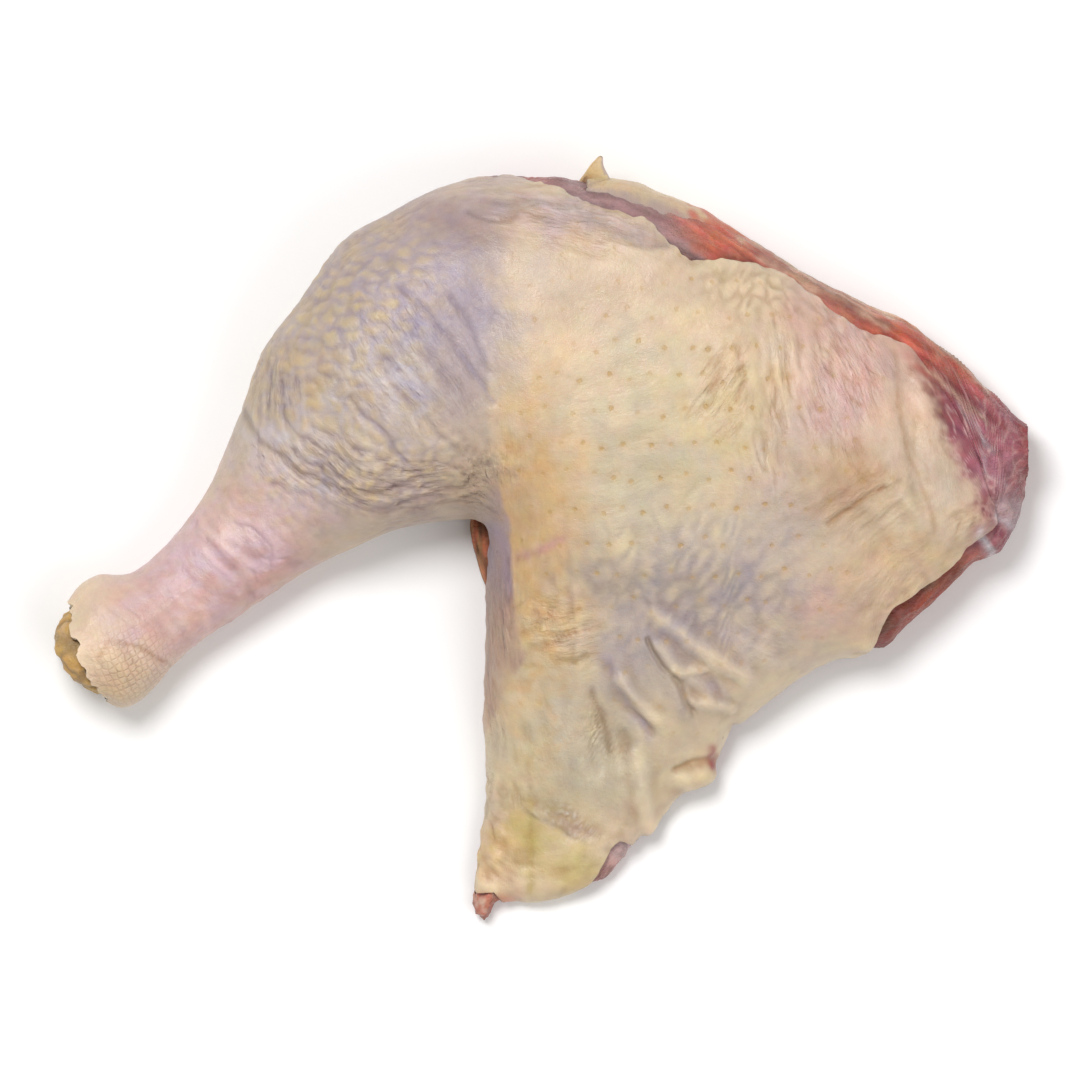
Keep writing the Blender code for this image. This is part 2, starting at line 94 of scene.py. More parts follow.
# The outlines seen from above: station, x, y.
BACK_OUTLINE = [
    (0, -151, -20), (0.5, -147, -15), (1, -142, -12), (2, -128, -9), (2.5, -118, 1), (3, -107, 15),
    (3.5, -100, 31), (4, -94, 47), (4.5, -87, 63), (5, -76, 78), (5.5, -62, 96), (6, -44, 107),
    (6.5, -31, 113), (7, -19, 116), (8, -3, 116), (9, 6, 116), (10, 15, 114), (11, 26, 114),
    (12, 37, 110), (13, 48, 106), (14, 64, 98), (15, 80, 88), (16, 99, 78), (17, 118, 69),
    (18, 131, 60), (19, 144, 48), (20, 151, 41), (21, 156, 37),
]
BELLY_OUTLINE = [
    (0, -139, -52), (0.5, -134, -54), (1, -128, -52), (1.5, -122, -46), (2, -116, -39), (2.5, -107, -31),
    (3, -93, -22), (3.5, -81, -14), (4, -69, -7), (5, -46, 3), (6, -25, 7), (6.6, -19, 6.5), (7, -16.3, 3),
    (7.4, -16, -4), (8, -16.8, -19), (9, -17.3, -51), (10, -17.3, -82), (10.4, -18.4, -94),
    (10.7, -20.9, -109), (10.85, -21.5, -116), (11, -18, -122), (11.15, -15, -118), (11.3, -11, -116),
    (11.7, 2, -116), (12, 11, -113), (12.3, 20, -109), (12.6, 26, -103), (12.8, 31, -96), (13, 36, -94),
    (13.3, 40, -87), (13.7, 48, -80), (14, 55, -76), (14.15, 57.6, -69), (14.3, 60, -62), (14.7, 67, -57),
    (15, 80, -47), (15.5, 93, -39), (16, 109, -35), (16.5, 119, -26), (17, 131, -15), (17.5, 138, -8),
    (18, 145, -5), (18.5, 148, -3), (19, 152, 4), (20, 155, 13), (21, 156, 20),
]

# Heights at places seen from above: x, y, top, and the widest line of the nearest edge.
HEIGHT_MARKS = [
    (-148, -36, 32, 16), (-138, -32, 37, 18), (-122, -24, 29, 15), (-105, -6, 30, 15), (-95, 5, 32, 16),
    (-86, 20, 39, 18), (-80, 34, 46, 22), (-66, 50, 56, 27), (-45, 60, 60, 28), (-50, 25, 56, 26),
    (-35, 90, 59, 28), (-28, 30, 56, 26), (-12, 70, 58, 26), (-8, 105, 57, 26), (-4, 30, 56, 24),
    (-8, 0, 48, 18), (20, 90, 58, 26), (20, 45, 58, 24), (20, 5, 52, 20), (-10, -30, 38, 13),
    (15, -35, 38, 14), (-12, -60, 27, 10), (12, -70, 24, 9), (-16, -90, 15, 6), (10, -98, 11, 4.5),
    (-18, -118, 9, 4), (30, -95, 12, 5), (40, -72, 20, 7), (40, -40, 36, 13), (50, 60, 57, 24),
    (50, 0, 52, 19), (65, -35, 34, 11), (75, 80, 55, 23), (85, 30, 54, 21), (90, -15, 44, 15),
    (100, -35, 36, 14), (112, 60, 49, 20), (120, 20, 47, 18), (125, -12, 38, 16), (138, 45, 40, 17),
    (145, 10, 36, 15), (156, 30, 26, 13),
]

# The free edges of the skin and of the fat, as turns in degrees at stations.
BACK_HEM = [
    (0, 20), (6, 20), (7, 8), (7.5, 4), (8, 11), (9, 17), (10, 21), (11, 23), (12, 24.5), (12.5, 30),
    (13, 34), (13.5, 31), (14, 27), (15, 22), (16, 34), (17, 38), (17.5, 54), (18, 79), (18.5, 120),
    (19, 80), (20, 40), (21, 30),
]
BELLY_HEM = [
    (0, 195), (6, 195), (7, 186), (7.4, 182), (8, 184), (8.5, 194), (9, 199), (10, 199), (10.5, 190),
    (10.7, 178), (10.85, 167), (11, 158), (11.15, 164), (11.3, 180), (11.7, 192), (12, 186),
    (12.15, 172), (12.3, 160), (12.6, 160), (12.8, 176), (13.3, 188), (14, 182), (14.3, 184),
    (15.4, 192), (15.8, 180), (16, 154), (16.5, 148), (17, 151), (17.5, 147), (18, 141), (18.5, 136),
    (19, 140), (21, 150),
]
FAT_UNDER = [(7, -30), (9, -25), (10, -20), (12, -24), (13.5, -20), (14.3, -8), (16, -20), (21, -30)]
FAT_INNER = [(7, -10), (9, 5), (10, 15), (12, 18), (13.5, 15), (14.3, 6), (16, 0), (21, 0)]
FAT_PROUD = 0.8
FAT_SPREAD = 3.0

# The peeled end of the fat, from its tip: how far it is moved along x, y and z, its size and its twist.
CURL_PATH = [
    (4.6, 10.4, 4.2, 0.05, 80), (3.5, 8.0, 3.2, 0.15, 70), (3.2, 5.0, 2.4, 0.32, 60),
    (2.6, 2.2, 1.0, 0.62, 35),
]

# Broad ridges and hollows: start x, y, end x, y, half width, height (below zero a hollow).
FOLDS = [
    (-18, 80, -16, 25, 8, -2), (-3, 70, 0, 0, 9, 1.5), (114, 62, 121, 18, 4, -2.5), (27, -76, 29, -94, 5, 3),
    (18, -40, 20, -72, 4, -2), (45, -55, 30, -85, 5, 2), (95, 10, 118, -10, 5, -1.5),
    (108, 22, 124, 4, 4, 1.5), (-95, 5, -70, 20, 7, -1.5), (60, 60, 72, 20, 8, 1.5),
]

# The tongue of meat in the bend of the knee: the middle of each ring, and its radius across and up.
TONGUE_RINGS = [
    (-14.5, -18.0, 5.4, 1.4, 1.6), (-14.8, -12.0, 5.6, 3.7, 3.2), (-15.4, -6.0, 5.8, 4.9, 3.8),
    (-16.4, 0.0, 6.0, 5.4, 4.0), (-17.6, 5.0, 6.4, 4.8, 3.8), (-18.4, 8.0, 6.4, 3.0, 2.6),
]

KNUCKLE_REACH = 7.2
KNUCKLE_BLUNTNESS = 0.35
KNUCKLE_TILT = 0.2
KNUCKLE_GROOVE = 0.35
GROOVE_HALF_WIDTH = 4.0

# ---------------------------------------------------------------- fine meshes

SKIN_ROWS = (296, 380)
SKIN_COLUMNS = (240, 48)
LINING_STEP = 4
MEAT_ROWS = 300
MEAT_COLUMNS = (72, 236)
MEAT_START = 5.5
# The ways that the strands of the meat run, in the upper parts and in the lower right ones.
MEAT_WAYS = (-32, 42)
LOWER_MEAT = (122, -20, 40, 20, 40)
REDDER_MEAT = (100, 60, 70, 40, -30)
VEINED_MEAT = (139, 30, 12, 26, 20)
# The depth of the meat under the leg's outside, at distances inside the skin's hem (below zero, outside).
MEAT_DEPTH = ((-6, -1, 0, 2, 7), (0, 1.0, 1.9, 2.8, 5.0))
FLUSH_MEAT_DEPTH = ((-6, -1, 0, 2, 7), (0, 0.3, 1.5, 2.8, 5.0))
HOLLOW_MEAT_DEPTH = ((-7, -3, 0, 2, 7), (0, 1.8, 3.0, 3.6, 5.0))
FLUSH_PLACE = (138, 34, 20, 30, 20)
FLUSH_FADE = 11.0
FLUSH_SINK = 0.8
FLUSH_SINK_REACH = 2.5
TIP_PLACE = (-17, -115, 9, 10, 0)
MEAT_WANDER = 2.5
MEAT_INSET = 9.0
MEAT_GAIN = 1.6
STRAND_LAYERS = ((1.0, 26), (0.45, 9))
VEIN_FINENESS = 7
# How dark the coral laid on the meat's downward-facing underside is: painted shade.
UNDERSIDE_PAINTED_SHADE = 0.75
HEM_PROBES = 400
TONGUE_GRID = (64, 72)
JOINT_COLUMNS = 120
JOINT_SHADE = (0.97, 0.78, 0.42)
KNUCKLE_RINGS = 30
PLATE_SIZE = (8, 5)
STUB_DEPTH = 2.5
FAT_GRID = (96, 25)
FAT_DEPTH = 2.4
FAT_SINK = 1.8
FAT_SHADE = (0.98, 0.88, 0.74)
FAT_RED_FROM = 52
CURL_RINGS = 30
SECTION_PROBES = 56
ROWS_AT_ONCE = 8

# ---------------------------------------------------------------- relief of the skin

# Wrinkles: where they lie (x, y, reach along and across, turn), the way they run, their width, length and
# height, and how strong the finest ones are. A straight way is an angle in degrees. A round way circles a
# point, and a fan runs out from one.
WRINKLES = [
    ((-98, -6, 36, 22, 41), ("straight", -50), 5.0, 26, 0.5, 0.25),
    ((-66, 22, 30, 14, -22), ("round", -38, 67), 4.2, 17, 0.6, 1.0),
    ((-40, 19, 30, 11, 8), ("round", -38, 67), 3.8, 13, 0.55, 1.0),
    ((-38, 56, 24, 28, 0), ("straight", -54), 4.8, 30, 0.5, 0.9),
    ((-84, 46, 9, 18, 0), ("straight", -84), 3.6, 18, 0.5, 0.8),
    ((-20, 22, 13, 13, 0), ("fan", -9, 5), 3.0, 26, 0.5, 1.0),
    ((58, 50, 11, 18, 0), ("straight", 54), 4.0, 14, 0.6, 0.9),
    ((75, 46, 10, 34, -8), ("straight", -82), 3.8, 14, 0.8, 0.7),
    ((95, 50, 17, 30, 0), ("straight", -68), 3.6, 9, 0.45, 1.0),
    ((103, 14, 22, 15, 0), ("straight", 42), 3.0, 15, 0.36, 0.5),
    ((4, -30, 14, 14, 0), ("straight", 8), 4.2, 10, 0.8, 0.9),
    ((-13, -36, 5, 34, 0), ("straight", -84), 2.8, 15, 0.35, 1.0),
    ((2, -64, 22, 20, 0), ("straight", -78), 8.0, 20, 0.45, 0.4),
    ((-12, -98, 9, 15, 0), ("straight", -30), 5.2, 12, 1.2, 0.3),
    ((-11, -80, 12, 6, 0), ("round", -11, -91), 3.2, 12, 0.5, 0.4),
    ((7, -105, 12, 8, 0), ("straight", 15), 5.0, 10, 0.7, 0.2),
    ((125, 28, 11, 30, 0), ("straight", -75), 6.5, 14, 0.4, 0.4),
    ((139, 5, 10, 9, 0), ("straight", 25), 5.0, 8, 0.8, 0.5),
    ((110, -8, 22, 16, 0), ("straight", 45), 8.0, 24, 0.45, 0.35),
    ((10, 102, 34, 9, -14), ("straight", -12), 3.6, 18, 0.5, 0.9),
    ((-138, -38, 12, 14, 0), ("straight", -40), 4.0, 9, 0.3, 0.2),
    ((62, -38, 22, 12, 30), ("straight", -42), 6.0, 18, 0.45, 0.3),
    ((-55, 96, 40, 10, 35), ("straight", 20), 4.0, 14, 0.25, 0.5),
    ((30, 30, 26, 40, 0), ("straight", 12), 9.0, 18, 0.35, 0.25),
]
LEAST_MASK = 0.02
WRINKLE_BEND = 1.5
LINE_WOBBLE = 0.8
LUMP_WARP = 0.22
LUMP_LEVEL = 0.7
STEP_WIDTH = 1.6
STEP_END_FADE = 6.0
CREASE_SHARE = 0.75
CREASE_WIDTH = 0.14
CREASE_RATE = (1.1, 0.9, 1.1)
CREASE_PATCH_RATE = 0.7
# How strongly the fine creases are darkened: painted shade, partly their own darker colour.
CREASE_SHADE_AND_STAIN = 0.42
# What is left of the skin's colour in a crease: painted shade in creases and hollows, mixed with their own
# darker colour.
DRUMSTICK_CREASE = np.array((0.66, 0.58, 0.66))
THIGH_CREASE = np.array((0.82, 0.66, 0.52))
FINE_LENGTH = 4.0
# How many cells the finest wrinkles keep away from places where their way changes, and fade over.
BORDER_REACH = 4
BORDER_FADE = 3

# Lumps under the skin: where they lie, their spacing on the flat map of the skin and its turn, height, the
# colours of their tops and of the valleys between them, and how strong both are.
LUMPS = [
    ((-62, 76, 36, 30, 0), (7.4, 4.9, 40), 0.36, "straw", 0.9, "violet", 0.42),
    ((-66, 46, 26, 18, 0), (7.0, 5.0, 30), 0.3, "straw", 0.8, "pearl", 0.35),
    ((-56, 20, 36, 13, 10), (5.4, 4.4, 60), 0.4, "straw", 0.85, "mauve", 0.35),
    ((46, -14, 44, 24, 0), (9.0, 8.0, 15), 0.25, "cream", 0.5, "slate", 0.45),
    ((68, 82, 15, 9, 0), (5.0, 5.4, 0), 0.6, "cream", 0.3, "ochre", 0.3),
    ((20, -62, 4, 11, 8), (2.6, 2.6, 0), 0.6, "cream", 0.4, "ochre", 0.4),
    ((9, -91, 11, 5, -30), (3.0, 3.0, 0), 0.6, "pearl", 0.6, "mauve", 0.5),
    ((-6, -106, 11, 9, 0), (5.0, 6.0, 0), 0.5, "butter", 0.3, "ochre", 0.3),
]

# Single creases and ridges: half width, height, and the x, y places they run through.
LINES = [
    (3.0, 1.3, (30, -69), (32, -80), (33.6, -86.5), (35, -93)),
    (2.5, -0.9, (27, -64), (28.8, -80), (30, -88)),
    (0.9, -1.2, (34.6, -32), (36, -36), (38.4, -39), (42, -43), (44.5, -46), (46, -50), (49, -55)),
    (2.6, 1.5, (36, -23), (47, -32), (65, -44)),
    (2.6, 1.0, (38, -35), (43, -40), (47, -45)),
    (2.2, 1.6, (25, -45), (32, -53), (37, -58)),
    (1.8, -1.1, (21.5, -41), (26, -51), (35, -61)),
    (1.2, 1.1, (42, -42), (53, -42)),
    (1.6, -0.9, (46, -45.5), (51, -51)),
    (1.6, 1.1, (50, -52), (61, -54)),
    (1.4, -0.7, (53, -43), (56, -48), (57, -52)),
    (1.2, -0.5, (16.6, -48), (18, -53), (19.5, -56), (21, -62), (22, -68)),
    (1.2, -0.7, (14.7, -37), (11, -39), (6, -38)),
    (1.5, -0.4, (-8, -6), (0, -3), (6.4, 0)),
    (1.2, -0.6, (92, 5), (99, 10), (104, 13.4), (109.4, 16.3)),
    (1.1, -0.4, (106, 12), (115, 19)),
    (1.1, -0.5, (63, 61), (65, 50), (62, 44)),
    (1.1, -0.5, (58, 54), (54, 47)),
    (4.0, -0.9, (70, 32), (83, 22), (93, 19)),
    (1.2, -0.5, (-46, 82), (-41, 77), (-35, 72), (-27, 62), (-22.5, 55), (-18, 50), (-15, 44)),
    (1.2, -0.4, (-28, 77), (-22, 69), (-19, 62), (-16, 53)),
    (1.2, -0.6, (-60, 45), (-56, 39), (-51, 35), (-43, 25)),
    (1.2, -0.4, (-36, 39), (-31, 32), (-24, 28)),
    (1.2, -0.4, (-86, 56), (-86.6, 50), (-87, 43)),
    (1.2, -0.4, (-82, 50), (-81, 40), (-78, 29)),
    (1.3, -0.6, (-95, 41), (-90, 32), (-77, 22), (-64, 16), (-51, 15), (-38, 19)),
    (1.2, -0.6, (-78, 28), (-70, 22), (-60, 17.5)),
    (1.3, -0.4, (-106, 0), (-102, -5), (-98, -9)),
    (1.1, -0.25, (-137, -33), (-132, -33), (-126, -35), (-120, -39), (-116, -43)),
    (1.0, -0.12, (113, 62), (114, 51), (115, 38), (117.5, 27), (120, 21), (122, 16), (126, 3)),
    (2.4, 0.15, (110.5, 60), (111.5, 40), (114.5, 27), (119, 15)),
    (1.0, -0.4, (-22, 104), (-13, 101), (-1, 106)),
    (1.0, 0.5, (0, 109), (8, 107.5), (16, 105.5), (24, 102)),
    (1.0, 0.4, (-6, 104), (4, 104.5), (12, 103.5)),
    (3.0, 2.2, (47, -78), (54, -75.5)),
    (1.4, -1.2, (44, -74), (50, -71.5), (56, -70.5)),
    (1.2, -0.4, (-3, -84), (-3.4, -92), (-3.0, -100), (-3.6, -112)),
    (0.8, -0.3, (10, -19), (11, -30), (10.4, -39)),
]

# Places where one fold of skin lies over the next: height, fade, and the x, y places of its edge. The skin
# to the left of the way the edge runs is the raised one.
STEPS = [
    (0.5, 18, (-20, -70), (-14, -56), (-8, -45), (-5, -36), (-7, -27), (-8.6, -19), (-9.3, -10),
     (-9.9, 0), (-9.6, 6.4), (-11.8, 13), (-12.8, 19), (-14, 32), (-15, 60), (-16, 83)),
    (1.0, 9, (44, 93), (35, 91.8), (27.5, 94), (22, 98.6), (13.4, 103), (6, 105.6), (-1, 107)),
    (1.3, 12, (35, -95.5), (24, -96.2), (19, -96), (14.4, -95.4), (9, -93.4), (1.6, -88), (-3, -86)),
    (0.5, 8, (10, -17), (10.2, -32), (11, -39)),
]

# Feather pits: spacing along x and y, how far they stray from it, where pimples stand up round them.
PIT_SPACING = (7.4, 10.2)
PIT_STRAY = 0.2
PIT_AREA = (40, 25, 72, 76, 0)
PIT_FADE_X = (-14.0, -9.0)
FLAP_TOP = -62.0
FLAP_FADE = 10.0
PIMPLE_PLACE = (68, 80, 17, 10, 0)
PIMPLE_RADIUS = 2.3
PIMPLE_HEIGHT = 1.0
PIT_RADIUS = 1.3
PIT_DEPTH = 0.15
PIT_REACH = 2.6
PIT_LEAD = 1.5
PIT_LEAST = 0.35
PIT_STAIN = (0.3, 1.8)
PIT_GRID = (range(-22, 24), range(-14, 15))

# Noise over the leg: the size of its features, its seeds (one for each number it gives) and its octaves.
NOISES = {
    "wander": (13.0, (901, 907), 3),
    "wrinkle bend": (13.0, (11, 12, 13), 1),
    "line wobble": (6.0, (21, 22), 1),
    "lump warp": (5.0, (61, 62), 2),
    "swell": (22.0, (31,), 1),
    "ruffle": (6.0, (33,), 2),
    "fleck": (5.5, (34,), 3),
    "speck": (3.2, (35,), 3),
    "film edge": (7.0, (36,), 3),
    "broad tone": (16.0, (37,), 3),
    "rim rag": ((4.0, 4.0, 7.0), (39,), 2),
    "meat lumps": (8.0, (53,), 3),
    "veins": ((5.0, 7.0, 6.0), (55,), 2),
    "tip lumps": (3.0, (56,), 3),
    "tip fat": (2.5, (57,), 3),
    "meat blotch": (9.0, (58,), 3),
    "tongue strands": ((1.6, 9.0, 1.6), (61,), 1),
    "tongue streaks": ((2.2, 14.0, 2.2), (62,), 1),
    "joint lumps": (7.0, (81,), 3),
    "joint grain": (2.5, (82,), 1),
    "joint mottle": (4.0, (83,), 3),
    "joint warp": (4.0, (86,), 3),
    "fat lumps": (7.0, (91,), 3),
    "fat mottle": (6.0, (92,), 3),
}
MOTTLE_SEED = 300
MEAT_SEED = 51
LUMP_SEED = 70
PLATE_SEED = 85
WRINKLE_SEEDS = (40, 140, 240)
HEM_SEEDS = (36, 38)
PIT_SEED = 5
PIT_LUCK_SEED = 3

HEM_RAG = 1.4
HEM_RAG_RATE = 2.4
HEM_RUFFLE = 0.8
HEM_RUFFLE_REACH = 7.0
HEM_LIFT = 0.25
HEM_CALM = 0.6
FULL_THICKNESS_GAP = 9
# The lowest that the skin's outside and its lining come to the floor.
LEAST_LEVELS = (0.05, 0.4)
HEM_LEAST_RELIEF = (0.25, 0.3)
RIM_RAG = 3.0
RIM_RAG_ROWS = 17
RIM_RAG_MIDDLE = 0.8
RIM_RAG_MOST = 3.4
SWELL_HEIGHT = 0.8

# ---------------------------------------------------------------- paint

# Soft patches of colour on the skin: colour, strength, and where they lie.
SKIN_PATCHES = [
    ("tan", 1.0, (-60, 55, 62, 60, 0)),
    ("pink", 0.95, (-108, -12, 36, 22, 41)),
    ("rose", 0.9, (-88, -9, 20, 10, 35)),
    # The lilac patches on the shank are a painted sheen.
    ("lilac", 0.7, (-112, -4, 20, 9, 41)),
    ("lilac", 0.5, (-88, 2, 16, 8, 41)),
    ("peach", 0.85, (-138, -34, 14, 16, 0)),
    ("pale", 0.35, (-140, -17, 11, 5, 10)),
    ("amber", 0.35, (-139, -49, 14, 7, 20)),
    ("rose", 0.5, (-121, -20, 12, 10, 0)),
    ("mauve", 0.8, (-34, 104, 30, 10, 12)),
    ("mauve", 0.8, (-8, 106, 26, 8, -5)),
    ("mauve", 0.6, (24, 100, 22, 6, -24)),
    ("rust", 0.35, (15, 89, 6, 4, 30)),
    ("ochre", 0.45, (42, 84, 13, 7, -10)),
    ("rose", 0.3, (4, 99, 14, 3, -8)),
    ("plum", 1.0, (-24, 98, 17, 10, -30)),
    ("violet", 0.85, (-30, 79, 15, 12, -40)),
    ("peach", 0.7, (22, 86, 22, 5, -18)),
    ("violet", 0.35, (-18, 66, 6, 20, 20)),
    ("pearl", 0.95, (-44, 56, 17, 15, -40)),
    ("pearl", 0.6, (-26, 50, 14, 22, -40)),
    ("pearl", 1.0, (-78, 24, 20, 13, -30)),
    ("violet", 0.5, (-32, 66, 16, 6, -52)),
    ("violet", 0.3, (-40, 30, 18, 8, 0)),
    ("mauve", 0.6, (-52, 12, 24, 9, 8)),
    ("plum", 0.55, (-30, 12, 14, 5, 10)),
    ("ochre", 0.35, (-22, 40, 10, 14, 0)),
    ("cream", 1.0, (38, 40, 54, 66, 0)),
    ("peach", 0.7, (8, 76, 22, 20, 0)),
    ("peach", 0.5, (40, 78, 22, 12, -15)),
    ("amber", 0.95, (-1, 16, 13, 30, 0)),
    ("amber", 1.0, (1, -8, 14, 28, 0)),
    ("sage", 0.6, (36, 45, 20, 20, 0)),
    ("sage", 0.8, (34, 10, 20, 24, 0)),
    ("butter", 0.7, (62, 46, 9, 26, 10)),
    ("peach", 0.7, (64, 66, 14, 16, 0)),
    ("pink", 0.9, (97, 50, 17, 28, 0)),
    ("rose", 0.6, (85, 72, 9, 13, 30)),
    ("ochre", 1.0, (94, 19, 18, 11, 20)),
    ("rust", 0.6, (97, 17, 16, 9, 35)),
    ("mauve", 0.5, (78, 30, 8, 16, 20)),
    ("lilac", 0.4, (70, 12, 12, 12, 0)),
    ("rose", 0.3, (104, 60, 10, 12, 0)),
    ("pink", 0.5, (118, 44, 5, 22, 0)),
    ("drab", 0.65, (58, -2, 34, 20, 0)),
    ("slate", 0.95, (40, -31, 20, 13, 0)),
    ("slate", 0.8, (27, -40, 9, 14, 0)),
    ("slate", 0.65, (70, -22, 20, 9, 20)),
    ("slate", 0.95, (52, -12, 26, 10, 10)),
    ("violet", 0.5, (44, -30, 24, 12, -10)),
    ("violet", 0.4, (66, -8, 24, 13, 20)),
    ("butter", 1.0, (2, -34, 14, 24, 0)),
    ("sage", 0.8, (4, -66, 20, 22, 0)),
    ("cream", 0.6, (34, -62, 16, 16, 0)),
    ("drab", 0.4, (18, -80, 14, 14, 0)),
    ("peach", 0.6, (28, -92, 12, 7, 10)),
    ("pearl", 0.3, (8, -58, 8, 12, 0)),
    ("cream", 0.7, (58, -48, 18, 12, 30)),
    ("slate", 0.3, (46, -52, 8, 8, 0)),
    ("ochre", 0.35, (104, -10, 24, 18, 30)),
    ("amber", 0.6, (110, -14, 22, 18, 30)),
    ("amber", 0.45, (128, -4, 14, 12, 30)),
    ("peach", 0.5, (112, -18, 16, 12, 30)),
    ("pink", 0.5, (90, -20, 10, 10, 0)),
    ("peach", 0.7, (124, 34, 10, 30, 8)),
    ("ochre", 0.4, (129, 26, 11, 18, 0)),
    ("cream", 0.6, (136, 6, 12, 9, 0)),
    ("olive", 1.0, (-5, -93, 6, 13, 0)),
    ("peach", 0.6, (-14, -110, 7, 8, 0)),
    ("scarlet", 0.7, (-17, -117, 6, 3, 0)),
    ("butter", 0.7, (52, -76, 6, 4, 20)),
    ("amber", 0.6, (-12, -98, 9, 12, 0)),
    ("olive", 0.2, (6, -88, 12, 7, -20)),
    ("butter", 0.9, (8, -106, 12, 8, 0)),
    ("sage", 0.6, (18, -74, 24, 14, 0)),
    ("olive", 0.25, (-3, -92, 9, 9, 0)),
    ("olive", 0.4, (8, -104, 14, 9, 0)),
    ("mauve", 0.4, (20, 100, 22, 4, -20)),
    ("cream", 0.6, (-8, 110, 24, 3, 0)),
]

# Blotches of colour on the skin: colour, strength, where they lie, and their size along x and y.
MOTTLES = [
    ("violet", 0.5, (-58, 74, 48, 42, 0), (9, 7)),
    ("straw", 0.7, (-62, 52, 52, 54, 0), (7, 6)),
    ("pearl", 0.35, (-48, 46, 42, 40, 0), (5, 9)),
    ("violet", 0.5, (-36, 72, 26, 24, 0), (5, 7)),
    ("plum", 0.45, (-36, 14, 34, 10, 8), (8, 4)),
    ("rose", 0.5, (-104, -10, 38, 22, 41), (7, 5)),
    # The lilac on the shank is a painted sheen.
    ("lilac", 0.7, (-104, -6, 38, 22, 41), (9, 5)),
    ("pale", 0.25, (-106, -6, 38, 20, 41), (4, 3)),
    ("peach", 0.4, (0, 4, 15, 70, 0), (5, 5)),
    ("amber", 0.8, (0, -8, 14, 60, 0), (6, 5)),
    ("rust", 0.15, (2, 8, 13, 34, 0), (3, 3)),
    ("amber", 0.55, (0, 4, 14, 36, 0), (9, 9)),
    ("sage", 0.5, (34, 20, 30, 44, 0), (8, 9)),
    ("cream", 0.45, (50, -12, 48, 30, 0), (6, 9)),
    ("slate", 0.55, (52, -20, 48, 24, 0), (7, 10)),
    ("violet", 0.35, (52, -18, 46, 26, 0), (10, 8)),
    ("drab", 0.3, (30, 30, 40, 50, 0), (11, 8)),
    ("peach", 0.5, (30, 60, 50, 40, 0), (9, 7)),
    ("butter", 0.5, (58, 40, 28, 40, 0), (5, 8)),
    ("ochre", 0.3, (24, 78, 30, 14, -14), (7, 5)),
    ("pale", 0.45, (97, 50, 18, 28, 0), (3, 6)),
    ("rose", 0.3, (99, 46, 18, 28, 0), (5, 8)),
    ("ochre", 0.5, (106, 6, 30, 24, 0), (7, 5)),
    ("rose", 0.3, (96, -22, 24, 14, 30), (8, 6)),
    ("ochre", 0.3, (40, -66, 30, 22, 30), (7, 7)),
    ("slate", 0.3, (20, -62, 24, 24, 0), (6, 8)),
    ("olive", 0.45, (4, -98, 20, 14, 0), (6, 5)),
    ("peach", 0.5, (-12, -96, 8, 18, 0), (4, 4)),
    ("ochre", 0.3, (2, -76, 22, 12, 0), (6, 4)),
    ("lilac", 0.4, (10, 102, 34, 8, -14), (8, 4)),
    ("pale", 0.4, (125, 20, 14, 40, 0), (6, 8)),
]

# Patches with one clear side: colour, strength, where they lie, how soft that side is, and the line that
# they lie to the left of.
KNEE_LINE = STEPS[0][2:]
SHARP_PATCHES = [
    ("tan", 0.6, (-22, 40, 10, 40, 0), 8, KNEE_LINE),
    ("violet", 0.45, (-22, 62, 9, 26, 0), 9, KNEE_LINE),
    ("tan", 0.7, (-19, 14, 8, 12, 0), 2.5, KNEE_LINE),
    ("puce", 0.9, (-14, -38, 9, 36, 0), 1.8, KNEE_LINE),
    ("plum", 0.9, (-12, -4, 8, 18, 0), 1.6, KNEE_LINE),
    ("violet", 0.5, (-12, 0, 4, 12, 0), 1.6, KNEE_LINE),
]
SCALY_PLACE = (-129, -44, 17, 16, 20)
SCALY_DRIFT = 0.3
